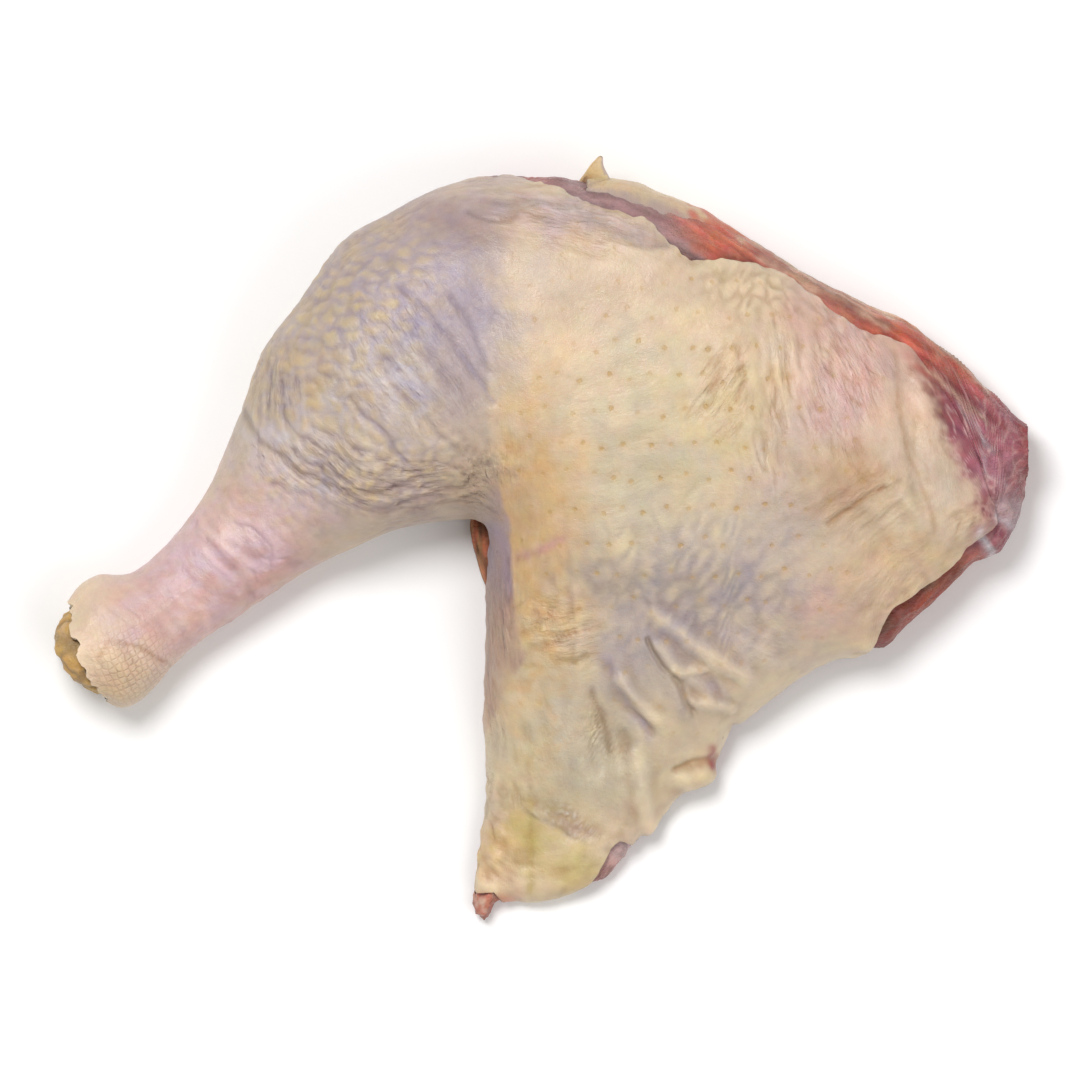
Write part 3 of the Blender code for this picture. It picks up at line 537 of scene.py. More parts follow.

# Thin strokes of colour on the skin: colour, strength, half width, and the x, y places they run through. Some
# are painted shade along creases, valleys and fold edges, and some painted highlight along ridges.
RIGHT_HEM = ((117, 61), (123, 56), (128, 50), (133, 42), (139, 26), (144, 11))
SKIN_STROKES = [
    ("rose", 0.5, 10.0, *RIGHT_HEM),
    ("pearl", 0.5, 2.0, (143, 12), (146, 5), (140, 3)),
    ("crimson", 1.0, 1.7, (55.2, -67.8), (55.6, -72)),
    ("crimson", 1.0, 1.4, (55, -68.5), (55.2, -72.5)),
    ("rust", 0.6, 1.0, (44, -74), (50, -71.5), (54, -71)),
    ("olive", 0.6, 1.2, (-3, -84), (-3.4, -92), (-3.0, -100), (-3.6, -112)),
    ("ochre", 0.3, 0.8, (10, -19), (10.4, -30), (11, -39)),
    # Painted shadow: a thin umber line along the edge where one layer of the lower flap lies over the next.
    ("umber", 0.7, 0.9, (-6, -85), (-2, -88), (1.6, -89.5), (9, -94.4), (14.4, -96.4)),
    ("ochre", 0.5, 1.2, (14.4, -96.4), (24, -97.2), (35, -96.5)),
    ("mauve", 0.5, 1.2, (14, 101), (26, 97), (33, 94), (42, 93)),
    ("pearl", 0.4, 2.5, (0, 107), (10, 105), (22, 100), (32, 96)),
    ("rose", 0.8, 1.6, (-8, -6), (-2, -4), (6.4, 0)),
    ("rust", 0.7, 0.8, (93, 6), (99, 10), (104, 13.4), (109.4, 16.3)),
    ("rust", 0.35, 0.9, (113, 62), (114, 51), (115, 38), (117.5, 27), (120, 21), (122, 16), (126, 3)),
    # The umber lines along these creases are partly painted shade in them.
    ("umber", 0.55, 0.7, (16.6, -48), (18, -53), (19.5, -56), (21, -62), (22, -68)),
    ("umber", 0.5, 0.9, (14.7, -37), (11, -39)),
    # Painted shade in the valleys of the lower thigh's folds (slate, violet and the thin umber line) and
    # painted highlight along their ridges (cream).
    ("slate", 0.7, 3.2, (28, -32), (36, -37), (42, -46), (47, -56)),
    ("violet", 0.6, 2.6, (21, -38), (27, -50), (36, -62)),
    ("violet", 0.5, 2.4, (52, -44), (58, -50)),
    ("cream", 0.8, 1.9, (36, -23), (47, -32), (65, -44)),
    ("cream", 0.8, 1.7, (25, -45), (32, -53), (37, -58)),
    ("cream", 0.7, 1.4, (42, -42), (53, -42)),
    ("cream", 0.6, 1.6, (39, -35), (43, -40)),
    ("umber", 0.45, 0.7, (35, -33), (38.4, -39), (42, -43), (46, -50), (49, -56)),
    # Painted shadow: a thin umber line along the edge of the fold by the top hem.
    ("umber", 0.4, 0.7, (15, 99.2), (22, 96.6), (26, 94.2), (33, 92), (42, 93)),
    ("mauve", 0.5, 2.6, (4, 101), (16, 102), (24, 98.6), (34, 94.4)),
    ("rust", 0.4, 0.8, (63, 61), (65, 50), (62, 44)),
    ("rust", 0.35, 0.8, (58, 54), (54, 47)),
    ("violet", 0.4, 0.9, (-46, 82), (-35, 72), (-22.5, 55), (-15, 44)),
    ("violet", 0.4, 0.9, (-60, 45), (-51, 35), (-43, 25)),
    # The umber line along this crease is partly painted shade in it.
    ("umber", 0.4, 1.0, (-95, 41), (-90, 32), (-77, 22), (-64, 15), (-51, 15)),
    ("rust", 0.45, 0.9, (-141, -37), (-137, -32), (-128, -34), (-120, -39)),
]

# Soft patches of colour on the meat.
MEAT_PATCHES = [
    ("grape", 0.9, (0, 112, 24, 10, 0)),
    ("scarlet", 0.75, (-2, 115, 6, 3, 0)),
    ("mauve", 1.0, (26, 104, 30, 12, -18)),
    ("puce", 0.3, (34, 103, 22, 5, -20)),
    ("plum", 0.7, (24, 104, 26, 7, -18)),
    ("grape", 0.3, (26, 104, 30, 12, -18)),
    ("scarlet", 1.0, (60, 94, 18, 10, -30)),
    ("coral", 0.9, (92, 75, 34, 8, -28)),
    ("scarlet", 0.9, (116, 65, 22, 7, -32)),
    ("peach", 0.45, (96, 82, 46, 2.2, -28)),
    ("grape", 1.0, (142, 34, 17, 26, 0)),
    ("scarlet", 0.8, (136, 55, 14, 5, -40)),
    ("crimson", 0.95, (156, 28, 3, 22, 0)),
    ("lilac", 0.2, (148, 20, 9, 12, 0)),
    ("pearl", 0.6, (150, 8, 7, 5, 20)),
    ("maroon", 1.0, (118, -22, 36, 15, 40)),
    ("scarlet", 0.3, (120, -22, 18, 6, 42)),
    ("grape", 0.8, (144, 0, 11, 6, 15)),
    ("coral", 0.7, (131, -8, 11, 3, 20)),
    # Painted shade: two umber patches darken hollows in the lower right meat.
    ("umber", 0.8, (125, -11, 6, 3, 35)),
    ("umber", 0.7, (109, -27, 5, 3, 40)),
    ("rose", 0.9, (24, -102, 10, 8, 40)),
    ("pearl", 0.4, (28, -98, 8, 4, 40)),
    ("coral", 0.95, (-18, -114, 10, 11, 0)),
    ("scarlet", 0.8, (57, -70, 4, 5, 0)),
]

# Thin strokes of colour on the meat.
MEAT_STROKES = [
    ("pearl", 0.9, 1.3, (140, 1), (143, -2.5), (144, -5)),
    ("pearl", 0.6, 1.2, (146, 6), (150, 4), (153, 6)),
    ("maroon", 0.6, 1.6, (62, 91), (70, 86), (78, 82)),
    ("maroon", 0.5, 1.4, (120, 58), (130, 51), (140, 43), (150, 36)),
    ("crimson", 0.6, 1.2, (118, 62), (126, 57), (134, 52)),
    ("peach", 0.5, 1.0, (122, 56), (132, 47), (142, 38)),
    ("pearl", 0.4, 0.8, (133, 44), (140, 34), (146, 30)),
    ("pearl", 0.4, 0.8, (140, 34), (144, 22), (150, 16)),
    ("plum", 0.9, 2.4, (6, 109), (14, 107), (22, 104)),
    ("plum", 0.8, 1.6, (26, 102), (36, 98), (46, 92), (56, 88)),
    ("peach", 0.7, 1.0, (64, 98.4), (80, 88.6), (99, 78.6), (118, 69.6), (131, 60.6), (144, 48.6)),
    ("maroon", 0.5, 1.2, (84, 82), (96, 75), (108, 69), (116, 64)),
    ("peach", 0.5, 1.2, (70, 90), (84, 83.5), (100, 75), (112, 68.5)),
]

BLOT_WANDER = 5.0
# Painted shade in the hollows of the relief and painted highlight on its ridges: how widely hollows are
# found, the most they count, and how much ridges are lightened.
CREASE_BLUR = 5
HOLLOW_MOST = 0.5
RIDGE_LIGHT = 0.3
LUMP_LEAST_TINT = 0.3
SOFT_SIDE = 11
STROKE_LEAST = 0.35
STROKE_DRIFT = 0.15
SPECK_SWING = 0.045
TONE_SWING = 0.06
TONE_TINT = np.array((0.03, 0.0, -0.08))
# The film that fades out over the meat: its width, how far its edge wanders, and how firm its place is.
FILM_WIDTH = 9
FILM_WANDER = 6
FLUSH_GAIN = 1.8


def shade(name, description, default):
    """A colour that a user can change."""
    return FloatVectorProperty(
        name=name, description=description, subtype="COLOR", size=3, min=0, max=1, default=default
    )


def length(name, description, default):
    """A length in metres that a user can change."""
    return FloatProperty(name=name, description=description, default=default, min=0, unit="LENGTH")


def share(name, description, default, most=2.0):
    """A plain number that a user can change."""
    return FloatProperty(name=name, description=description, default=default, min=0, max=most)


class TurkeyLegSizes(bpy.types.PropertyGroup):
    """Sizes of the leg's fine forms."""

    skin_thickness: length("Skin thickness", "Thickness of the skin away from its hems", 0.0024)
    hem_thickness: length("Hem thickness", "Thickness of the skin at its free edges", 0.0010)
    wrinkle_height: share("Wrinkles", "Height of the wrinkles, as a share of the real one", 1.0)
    lump_height: share("Lumps", "Height of the lumps under the skin, as a share of the real one", 1.0)
    line_height: share("Creases", "Depth of the single creases, as a share of the real one", 1.0)
    meat_strand: length("Meat strand", "Width of a strand of the meat", 0.0032)
    wetness: share("Wetness", "How much of the surface shines wet", 0.5, most=1.0)


class TurkeyLegColours(bpy.types.PropertyGroup):
    """Colours of the leg's skin, meat, fat and gristle."""

    tan: shade("Tan", "Skin over the calf", (0.41, 0.30, 0.205))
    straw: shade("Straw", "Lumps of yellow fat under the calf's skin", (0.52, 0.395, 0.23))
    pink: shade("Pink", "Thin skin over the shank and by the hip", (0.66, 0.41, 0.385))
    rose: shade("Rose", "Redder streaks in the pink skin", (0.56, 0.31, 0.28))
    # Lilac on the shank is a painted sheen; on the thigh and the meat it is a cool tint.
    lilac: shade("Lilac", "Cool sheen on the shank", (0.64, 0.455, 0.50))
    peach: shade("Peach", "Warm pale skin", (0.69, 0.51, 0.36))
    pale: shade("Pale", "Dry pale skin on top of the hock", (0.66, 0.53, 0.42))
    amber: shade("Amber", "Fat showing strongly through the skin", (0.60, 0.37, 0.15))
    mauve: shade("Mauve", "Thin skin over dark meat", (0.40, 0.30, 0.28))
    puce: shade("Puce", "Brownish pink skin in the bend of the knee", (0.43, 0.29, 0.22))
    plum: shade("Plum", "Dark meat showing through the skin", (0.30, 0.20, 0.20))
    violet: shade("Violet", "Bluish bruised skin", (0.36, 0.30, 0.40))
    pearl: shade("Pearl", "Milky membrane", (0.58, 0.53, 0.56))
    ochre: shade("Ochre", "Brownish fat", (0.47, 0.34, 0.22))
    cream: shade("Cream", "Plain skin of the thigh", (0.64, 0.51, 0.35))
    sage: shade("Sage", "Greenish grey skin", (0.54, 0.47, 0.31))
    butter: shade("Butter", "Yellow fat under the skin", (0.61, 0.46, 0.25))
    drab: shade("Drab", "Grey skin of the thigh's middle", (0.47, 0.39, 0.31))
    slate: shade("Slate", "Grey violet skin", (0.33, 0.275, 0.26))
    olive: shade("Olive", "Greenish yellow glossy fat", (0.50, 0.37, 0.12))
    pit: shade("Pit", "Yellowish brown of the feather pits", (0.47, 0.28, 0.07))
    rust: shade("Rust", "Reddish brown of creases and pits", (0.42, 0.20, 0.09))
    # Umber is laid in deep creases, under fold edges, in hollows of the meat and in the gaps of the joint:
    # painted shade, partly the creases' own dark brown.
    umber: shade("Umber", "Dark brown of deep creases", (0.22, 0.15, 0.08))
    scarlet: shade("Scarlet", "Bright red meat", (0.56, 0.12, 0.06))
    coral: shade("Coral", "Paler red meat", (0.60, 0.22, 0.15))
    crimson: shade("Crimson", "Cut edge of the meat", (0.33, 0.07, 0.07))
    maroon: shade("Maroon", "Dark meat under the hem", (0.17, 0.035, 0.028))
    grape: shade("Grape", "Purple meat under its membrane", (0.35, 0.095, 0.13))


def curve_through(table, at):
    """Read a table at the places given, along a smooth curve through its rows."""
    rows = np.array(table, float)
    knots, values = rows[:, 0], rows[:, 1:]
    slopes = np.gradient(values, knots, axis=0)
    at = np.clip(at, knots[0], knots[-1])
    low = np.clip(np.searchsorted(knots, at, side="right") - 1, 0, len(knots) - 2)
    step = (knots[low + 1] - knots[low])[:, None]
    t = (at - knots[low])[:, None] / step
    start = values[low] * (1 + 2 * t) + slopes[low] * step * t
    end = values[low + 1] * (3 - 2 * t) - slopes[low + 1] * step * (1 - t)
    return start * (1 - t) ** 2 + end * t**2


def ease(t):
    """A soft step from 0 to 1."""
    t = np.clip(t, 0.0, 1.0)
    return t * t * (3 - 2 * t)


def offset_from_line(places, starts, along):
    """The offset in plan to each place from the nearest of the straight stretches."""
    offset = places[..., None, :] - starts
    reached = np.clip(np.sum(offset * along, axis=-1) / np.sum(along * along, axis=-1), 0, 1)
    offset = offset - reached[..., None] * along
    nearest = np.sum(offset * offset, axis=-1).argmin(axis=-1)
    return np.take_along_axis(offset, nearest[..., None, None], axis=-2)[..., 0, :], nearest


def tree_of(places):
    """A search tree of places, in plan or in space."""
    tree = KDTree(len(places))
    for index, place in enumerate(np.pad(places, ((0, 0), (0, 3 - places.shape[1])))):
        tree.insert(place, index)
    tree.balance()
    return tree


class Outline:
    """The leg's outline seen from above: its places, the ways into the leg, and a search tree."""

    def __init__(self):
        fine = np.arange(0, LEG_END + OUTLINE_STEP, OUTLINE_STEP)
        sides = [curve_through(table, fine) for table in (BACK_OUTLINE, BELLY_OUTLINE)]
        ways = [np.gradient(side, axis=0) * turn for side, turn in zip(sides, (1, -1))]
        self.places, along = np.concatenate(sides), np.concatenate(ways)
        self.inward = along[:, ::-1] * (1, -1) / np.linalg.norm(along, axis=1, keepdims=True)
        self.is_end = np.isin(np.arange(2 * len(fine)) % len(fine), (0, len(fine) - 1))
        self.tree = tree_of(self.places)

    def distance_from(self, plan):
        """The distance of each place in plan from the outline, none for a place outside it."""
        flat = plan.reshape(-1, 2)
        nearest = np.array([self.tree.find((x, y, 0.0))[1] for x, y in flat.tolist()])
        offset = flat - self.places[nearest]
        inside = np.maximum(np.sum(offset * self.inward[nearest], axis=1), 0)
        away = np.where(self.is_end[nearest], np.linalg.norm(offset, axis=1), inside)
        return away.reshape(plan.shape[:-1])


OUTLINE = Outline()


def fold_relief(plan):
    """The height that the broad folds add at each place in plan."""
    relief = np.zeros(plan.shape[:-1])
    for x0, y0, x1, y1, half_width, height in FOLDS:
        away, _ = offset_from_line(plan, np.array([(x0, y0)], float), np.array([(x1 - x0, y1 - y0)], float))
        relief += height * np.exp(-np.sum(away**2, axis=-1) / half_width**2)
    return relief


def rim_bow(stations, across):
    """How far the sleeve of skin bows outward at the hock, in plan along the shank."""
    middle = 0.5 * (curve_through(BACK_OUTLINE, [0.0, 0.3]) + curve_through(BELLY_OUTLINE, [0.0, 0.3]))
    outward = (middle[0] - middle[1]) / np.linalg.norm(middle[0] - middle[1])
    reach = RIM_BOW * np.clip(1 - stations / RIM_BOW_FADE, 0, 1)[:, None] * 4 * across * (1 - across)
    return reach[..., None] * outward


def heights_at(plan):
    """The height of the top and of the nearest edge's widest line at each place in plan."""
    marks = np.array(HEIGHT_MARKS, float)
    away = np.sum((plan[..., None, :] - marks[:, :2]) ** 2, axis=-1)
    weight = np.exp(-0.5 * away / MARK_REACH**2) + 1e-9
    mean = (weight @ marks[:, 2:]) / weight.sum(axis=-1, keepdims=True)
    return mean[..., 0], mean[..., 1]


def some_rows(stations, turns):
    """Points of the leg's outside for a few rows."""
    back = curve_through(BACK_OUTLINE, stations)[:, None, :]
    belly = curve_through(BELLY_OUTLINE, stations)[:, None, :]
    across = 0.5 * (1 - np.cos(turns))
    plan = back + (belly - back) * across[..., None]
    away = OUTLINE.distance_from(plan)
    top, edge = heights_at(plan)
    on_top = np.sin(turns) >= 0
    rounding = ROUNDING * np.where(on_top, top - edge, edge)
    lean = 1 - np.clip(away / rounding, 0, 1)
    swell = np.sqrt(1 - lean**2)
    above = edge + (top + fold_relief(plan) - edge) * swell
    below = np.maximum(0.0, edge - (edge + FLAT_SPOT) * swell)
    height = np.where(on_top, above, below)[..., None]
    return np.concatenate([plan + rim_bow(stations, across), height], axis=-1)


def leg_surface(stations, turns):
    """Points of the leg's outside at each station and turn."""
    parts = range(0, len(stations), ROWS_AT_ONCE)
    return np.concatenate([
        some_rows(stations[i : i + ROWS_AT_ONCE], turns[i : i + ROWS_AT_ONCE]) for i in parts
    ])


def even_stations(start, end, count):
    """Stations that space count rows evenly along the leg from start up to, but without, end."""
    fine = np.linspace(start, end, 2000)
    steps = [np.sum(np.diff(curve_through(table, fine), axis=0) ** 2, axis=1)
             for table in (BACK_OUTLINE, BELLY_OUTLINE)]
    reached = np.concatenate([[0], np.cumsum(np.sqrt(0.5 * (steps[0] + steps[1])))])
    return np.interp(np.arange(count) / count * reached[-1], reached, fine)


def even_turns(stations, first, last, count):
    """Turns that space each row's points evenly along its section from first up to, but without, last."""
    probes = first[:, None] + (last - first)[:, None] * np.linspace(0, 1, SECTION_PROBES)
    gaps = np.linalg.norm(np.diff(leg_surface(stations, probes), axis=1), axis=-1)
    reached = np.pad(np.cumsum(gaps, axis=1), ((0, 0), (1, 0)))
    wanted = np.arange(count) / count
    return np.array([np.interp(wanted * row[-1], row, turns) for row, turns in zip(reached, probes)])


def ring_normals(rings):
    """Outward normals of a grid of points whose rows are closed rings."""
    across = np.roll(rings, -1, axis=1) - np.roll(rings, 1, axis=1)
    along = np.gradient(rings, axis=0)
    normals = np.cross(across, along)
    return normals / np.maximum(np.linalg.norm(normals, axis=-1, keepdims=True), 1e-9)


# ---------------------------------------------------------------- noise


def cell_randoms(cells, seed):
    """Three steady random numbers from -1 to 1 for each whole-number cell."""
    cells = cells.astype(np.int64).astype(np.uint64)
    mixed = (
        cells[..., 0] * np.uint64(0x9E3779B97F4A7C15)
        ^ cells[..., 1] * np.uint64(0xC2B2AE3D27D4EB4F)
        ^ cells[..., 2] * np.uint64(0x165667B19E3779F9)
    ) + np.uint64(seed * 7919 + 1)
    mixed ^= mixed >> np.uint64(31)
    mixed *= np.uint64(0xBF58476D1CE4E5B9)
    mixed ^= mixed >> np.uint64(29)
    parts = [(mixed >> np.uint64(shift)) & np.uint64(0xFFFF) for shift in (0, 16, 32)]
    return np.stack(parts, axis=-1).astype(float) / 32767.5 - 1


def soft_noise(places, seed):
    """Smooth noise from about -1 to 1 whose features are about one unit apart."""
    base = np.floor(places)
    offset = places - base
    fade = offset**3 * (offset * (offset * 6 - 15) + 10)
    total = np.zeros(places.shape[:-1])
    for corner in product((0, 1), repeat=3):
        weight = np.prod(np.where(corner, fade, 1 - fade), axis=-1)
        total += weight * np.sum(cell_randoms(base + corner, seed) * (offset - corner), axis=-1)
    return total * 1.5


def rough_noise(places, seed, octaves=3):
    """Noise with finer noise on it."""
    return sum(soft_noise(places * 2**k + 17.3 * k, seed + k) / 2**k for k in range(octaves))


def cell_lumps(places, seed, stray=0.75):
    """Domes from 0 to 1, one to each cell of a jittered lattice in the x, y plane, with valleys between."""
    base = np.floor(places)
    nearest = np.full(places.shape[:-1], 9.0)
    second = nearest.copy()
    for shift in product((-1, 0, 1), repeat=2):
        cell = base + (*shift, 0)
        away = places - cell - 0.5 - 0.5 * stray * cell_randoms(cell, seed)
        away = np.hypot(away[..., 0], away[..., 1])
        second = np.minimum(second, np.maximum(nearest, away))
        nearest = np.minimum(nearest, away)
    return ease((second - nearest) * 1.3)


def noise_on(points, name):
    """The noise of the name given at places: one number for each, or as many as it has seeds."""
    size, seeds, octaves = NOISES[name]
    layers = [rough_noise(points / size, seed, octaves) for seed in seeds]
    return layers[0] if len(layers) == 1 else np.stack(layers, axis=-1)


def drifted(points, reach=BLOT_WANDER):
    """Points moved a little in plan by noise, so that the edges of patches on them wander."""
    return points[..., :2] + reach * noise_on(points, "wander")


def blot(plan, place):
    """A soft patch from 0 to 1: its middle, its reach along and across, and its turn in degrees."""
    x, y, along, across, turn = place
    plan = plan[..., :2] - (x, y)
    c, s = math.cos(math.radians(turn)), math.sin(math.radians(turn))
    u = (plan[..., 0] * c + plan[..., 1] * s) / along
    v = (plan[..., 1] * c - plan[..., 0] * s) / across
    return np.exp(-((u * u + v * v) ** 1.3))


def stroke(points, places, half_width):
    """A soft line from 0 to 1 through places in plan."""
    places = np.array(places, float)
    away, _ = offset_from_line(points[..., :2], places[:-1], np.diff(places, axis=0))
    return np.exp(-np.sum(away**2, axis=-1) / half_width**2)


def grain_places(points, way, width, long):
    """Places for noise whose features are one unit wide across the way they run and one unit long."""
    kind, a, *b = way
    x, y, z = np.moveaxis(points, -1, 0)
    if kind == "straight":
        c, s = math.cos(math.radians(a)), math.sin(math.radians(a))
        along, across = x * c + y * s, y * c - x * s
    else:
        out, angle = np.hypot(x - a, y - b[0]), np.arctan2(y - b[0], x - a)
        along, across = (angle * 50, out) if kind == "round" else (out, angle * 20)
    return np.stack([across / width, along / long, z / width], axis=-1)


# ---------------------------------------------------------------- relief


def wrinkle_relief(points, plan):
    """Soft wrinkles with creases that come and go: relief, creases, and where the finest ones run."""
    relief, ways = np.zeros(points.shape[:-1]), {}
    creases = relief.copy()
    bent = points + WRINKLE_BEND * noise_on(points, "wrinkle bend")
    for number, (place, way, width, long, height, fine) in enumerate(WRINKLES):
        mask = blot(plan, place)
        near = mask > LEAST_MASK
        places = grain_places(bent[near], way, width, long)
        soft_seed, line_seed, patch_seed = (seed + number for seed in WRINKLE_SEEDS)
        soft = rough_noise(places, soft_seed, 2)
        lines = soft_noise(places * CREASE_RATE + 31, line_seed)
        strong = ease(0.15 + 1.2 * soft_noise(places * CREASE_PATCH_RATE + 57, patch_seed))
        crease = np.exp(-((lines / CREASE_WIDTH) ** 2)) * strong
        relief[near] += height * mask[near] * (soft - CREASE_SHARE * crease)
        creases[near] = np.maximum(creases[near], fine * mask[near] * crease)
        ways[way] = np.maximum(ways.get(way, 0), mask * fine)
    shares = np.stack(list(ways.values()))
    strongest = shares.argmax(axis=0)
    fine_places = np.zeros(points.shape)
    for index, way in enumerate(ways):
        here = strongest == index
        fine_places[here] = grain_places(bent[here], way, 1.0, FINE_LENGTH)
    border = np.any([np.roll(strongest, 1, axis) != strongest for axis in (0, 1)], axis=0)
    clear = blurred(blurred(border.astype(float), BORDER_REACH) == 0, BORDER_FADE)
    return relief, creases, shares.max(axis=0) * clear, fine_places


def lumps_on(points, plan, chart):
    """The lumps under the skin: their share of each point and their domes, in the order of their table."""
    warp = LUMP_WARP * noise_on(points, "lump warp")
    for number, (place, spacing, height, top, top_share, valley, valley_share) in enumerate(LUMPS):
        mask = blot(plan, place)
        near = mask > LEAST_MASK
        c, s = math.cos(math.radians(spacing[2])), math.sin(math.radians(spacing[2]))
        places = chart[near] @ np.array([(c, -s), (s, c)]) / spacing[:2] + warp[near]
        domes = np.zeros(mask.shape)
        domes[near] = cell_lumps(np.pad(places, ((0, 0), (0, 1))), LUMP_SEED + number)
        yield mask, domes, height, top, top_share, valley, valley_share


def mottles_on(surface, plan):
    """Blotches of colour: the colour's name and its share of each point, in the order of their table."""
    for number, (name, strength, place, size) in enumerate(MOTTLES):
        share_here = strength * blot(plan, place)
        near = share_here > LEAST_MASK
        cloud = rough_noise(surface[near] / (*size, min(size)), MOTTLE_SEED + 5 * number, 3)
        share_here[near] *= ease(0.45 + 1.1 * cloud)
        yield name, share_here


def line_relief(points):
    """Single creases and ridges, and the steps where one fold lies over the next."""
    places = points[..., :2] + LINE_WOBBLE * noise_on(points, "line wobble")
    relief = np.zeros(points.shape[:-1])
    for half_width, height, *through in LINES:
        relief += height * stroke(places, through, half_width)
    for height, fade, *through in STEPS:
        side, past = side_of(places, through)
        nearby = np.exp(-((side / fade) ** 2) - (past / STEP_END_FADE) ** 2)
        relief += height * ease(0.5 + 0.5 * side / STEP_WIDTH) * nearby
    return relief


def pit_places(surface, normals):
    """Where the feather pits lie: a jittered lattice in plan, set on the skin's upper side."""
    step_x, step_y = PIT_SPACING
    upper = surface[normals[..., 2] > 0.12]
    tree = tree_of(upper[:, :2])
    found = []
    for i, j in product(*PIT_GRID):
        stray = cell_randoms(np.array([[i, j, 3]]), PIT_SEED)[0] * PIT_STRAY
        x = (i + stray[0] + 0.5 * (j % 2) + 0.06 * j) * step_x
        y = (j + stray[1]) * step_y
        _, index, away = tree.find((x, y, 0))
        if away < 1.0:
            found.append(upper[index])
    return np.array(found)


def pit_offsets(points, centres):
    """The offset of each point from the nearest feather pit, its number, and how much nearer it is."""
    tree = tree_of(centres)
    found = [tree.find_n(point, 2) for point in points.reshape(-1, 3)]
    numbers = np.array([first[1] for first, _ in found]).reshape(points.shape[:-1])
    leads = np.array([second[2] - first[2] for first, second in found]).reshape(points.shape[:-1])
    return points - centres[numbers], numbers, leads


def gaps_to(edge, surface):
    """The distance of each point of the surface from the nearest place of an edge."""
    tree = tree_of(edge)
    return np.array([tree.find(point)[2] for point in surface.reshape(-1, 3)]).reshape(surface.shape[:-1])


def side_of(plan, places):
    """How far each place in plan lies to the left of a line through places, and how far past its ends."""
    places = np.array(places, float)
    best, side, past = (np.full(plan.shape[:-1], start) for start in (np.inf, 0.0, 0.0))
    for number, (start, end) in enumerate(zip(places[:-1], places[1:])):
        long = np.linalg.norm(end - start)
        ahead = (end - start) / long
        offset = plan - start
        along = offset @ ahead
        left = ahead[0] * offset[..., 1] - ahead[1] * offset[..., 0]
        beyond = np.maximum(np.maximum(-along, along - long), 0)
        away = np.hypot(left, beyond)
        score = away - 0.001 * np.abs(left)
        outside = (number == 0) & (along < 0) | (number == len(places) - 2) & (along > long)
        nearer = score < best
        best = np.where(nearer, score, best)
        side = np.where(nearer, np.where(outside, left, np.sign(left) * away), side)
        past = np.where(nearer, beyond * outside, past)
    return side, past


def chart_of(surface):
    """A flat map of the skin: the distance of each point round and along the leg."""
    columns = surface.shape[1]
    shift = columns // 2 - SKIN_COLUMNS[0] // 2
    turned = np.roll(surface, shift, axis=1)
    way_round = np.cumsum(np.linalg.norm(np.diff(turned, axis=1), axis=-1), axis=1)
    way_round = np.pad(way_round, ((0, 0), (1, 0)))
    way_round = np.roll(way_round - way_round[:, columns // 2, None], -shift, axis=1)
    way_along = np.cumsum(np.linalg.norm(np.diff(surface, axis=0), axis=-1), axis=0)
    return np.stack([way_round, np.pad(way_along, ((1, 0), (0, 0)))], axis=-1)


# ---------------------------------------------------------------- meshes


def make_piece(name, points, faces, looks, fields, normals=None):
    """Add one piece with its point fields: colours, vectors or numbers."""
    used = np.unique(np.concatenate([np.asarray(face) for face in faces]))
    renumber = np.zeros(len(points), int)
    renumber[used] = np.arange(len(used))
    mesh = bpy.data.meshes.new(name)
    mesh.from_pydata(
        ((points[used] - MIDDLE) * MM).tolist(), [], [renumber[list(face)].tolist() for face in faces]
    )
    mesh.shade_smooth()
    for field, values in fields.items():
        values = np.asarray(values, float)[used]
        if field == "tint":
            layer = mesh.color_attributes.new(name=field, type="FLOAT_COLOR", domain="POINT")
            layer.data.foreach_set("color", np.pad(values, ((0, 0), (0, 1)), constant_values=1).ravel())
        elif values.ndim == 2:
            layer = mesh.attributes.new(name=field, type="FLOAT_VECTOR", domain="POINT")
            layer.data.foreach_set("vector", values.ravel())
        else:
            layer = mesh.attributes.new(name=field, type="FLOAT", domain="POINT")
            layer.data.foreach_set("value", values)
    if normals is not None:
        mesh.normals_split_custom_set_from_vertices(normals[used].tolist())
    mesh.materials.append(looks)
    piece = bpy.data.objects.new(name, mesh)
    bpy.context.scene.collection.objects.link(piece)
    return piece


def ring_faces(rows, columns, first=0):
    """Quads over a grid of closed rings."""
    i, j = np.meshgrid(np.arange(rows - 1), np.arange(columns), indexing="ij")
    right = (j + 1) % columns
    corners = [i * columns + j, i * columns + right, (i + 1) * columns + right, (i + 1) * columns + j]
    return (np.stack(corners, axis=-1) + first).reshape(-1, 4)


def closed_loft(rings):
    """A closed body through rings: its points and faces, each end closed by a fan."""
    rows, columns = rings.shape[:2]
    points = np.concatenate([rings.reshape(-1, 3), [rings[0].mean(axis=0), rings[-1].mean(axis=0)]])
    faces = ring_faces(rows, columns).tolist()
    last = (rows - 1) * columns
    for j in range(columns):
        right = (j + 1) % columns
        faces.append((rows * columns, right, j))
        faces.append((rows * columns + 1, last + j, last + right))
    return points, faces


def add_loft(name, rings, colour, looks):
    """Add a closed body through rings with the colours of their points."""
    colour = np.clip(colour, 0, 1)
    ends = [colour[0].mean(axis=0), colour[-1].mean(axis=0)]
    points, faces = closed_loft(rings)
    return make_piece(name, points, faces, looks, {"tint": np.concatenate([colour.reshape(-1, 3), ends])})


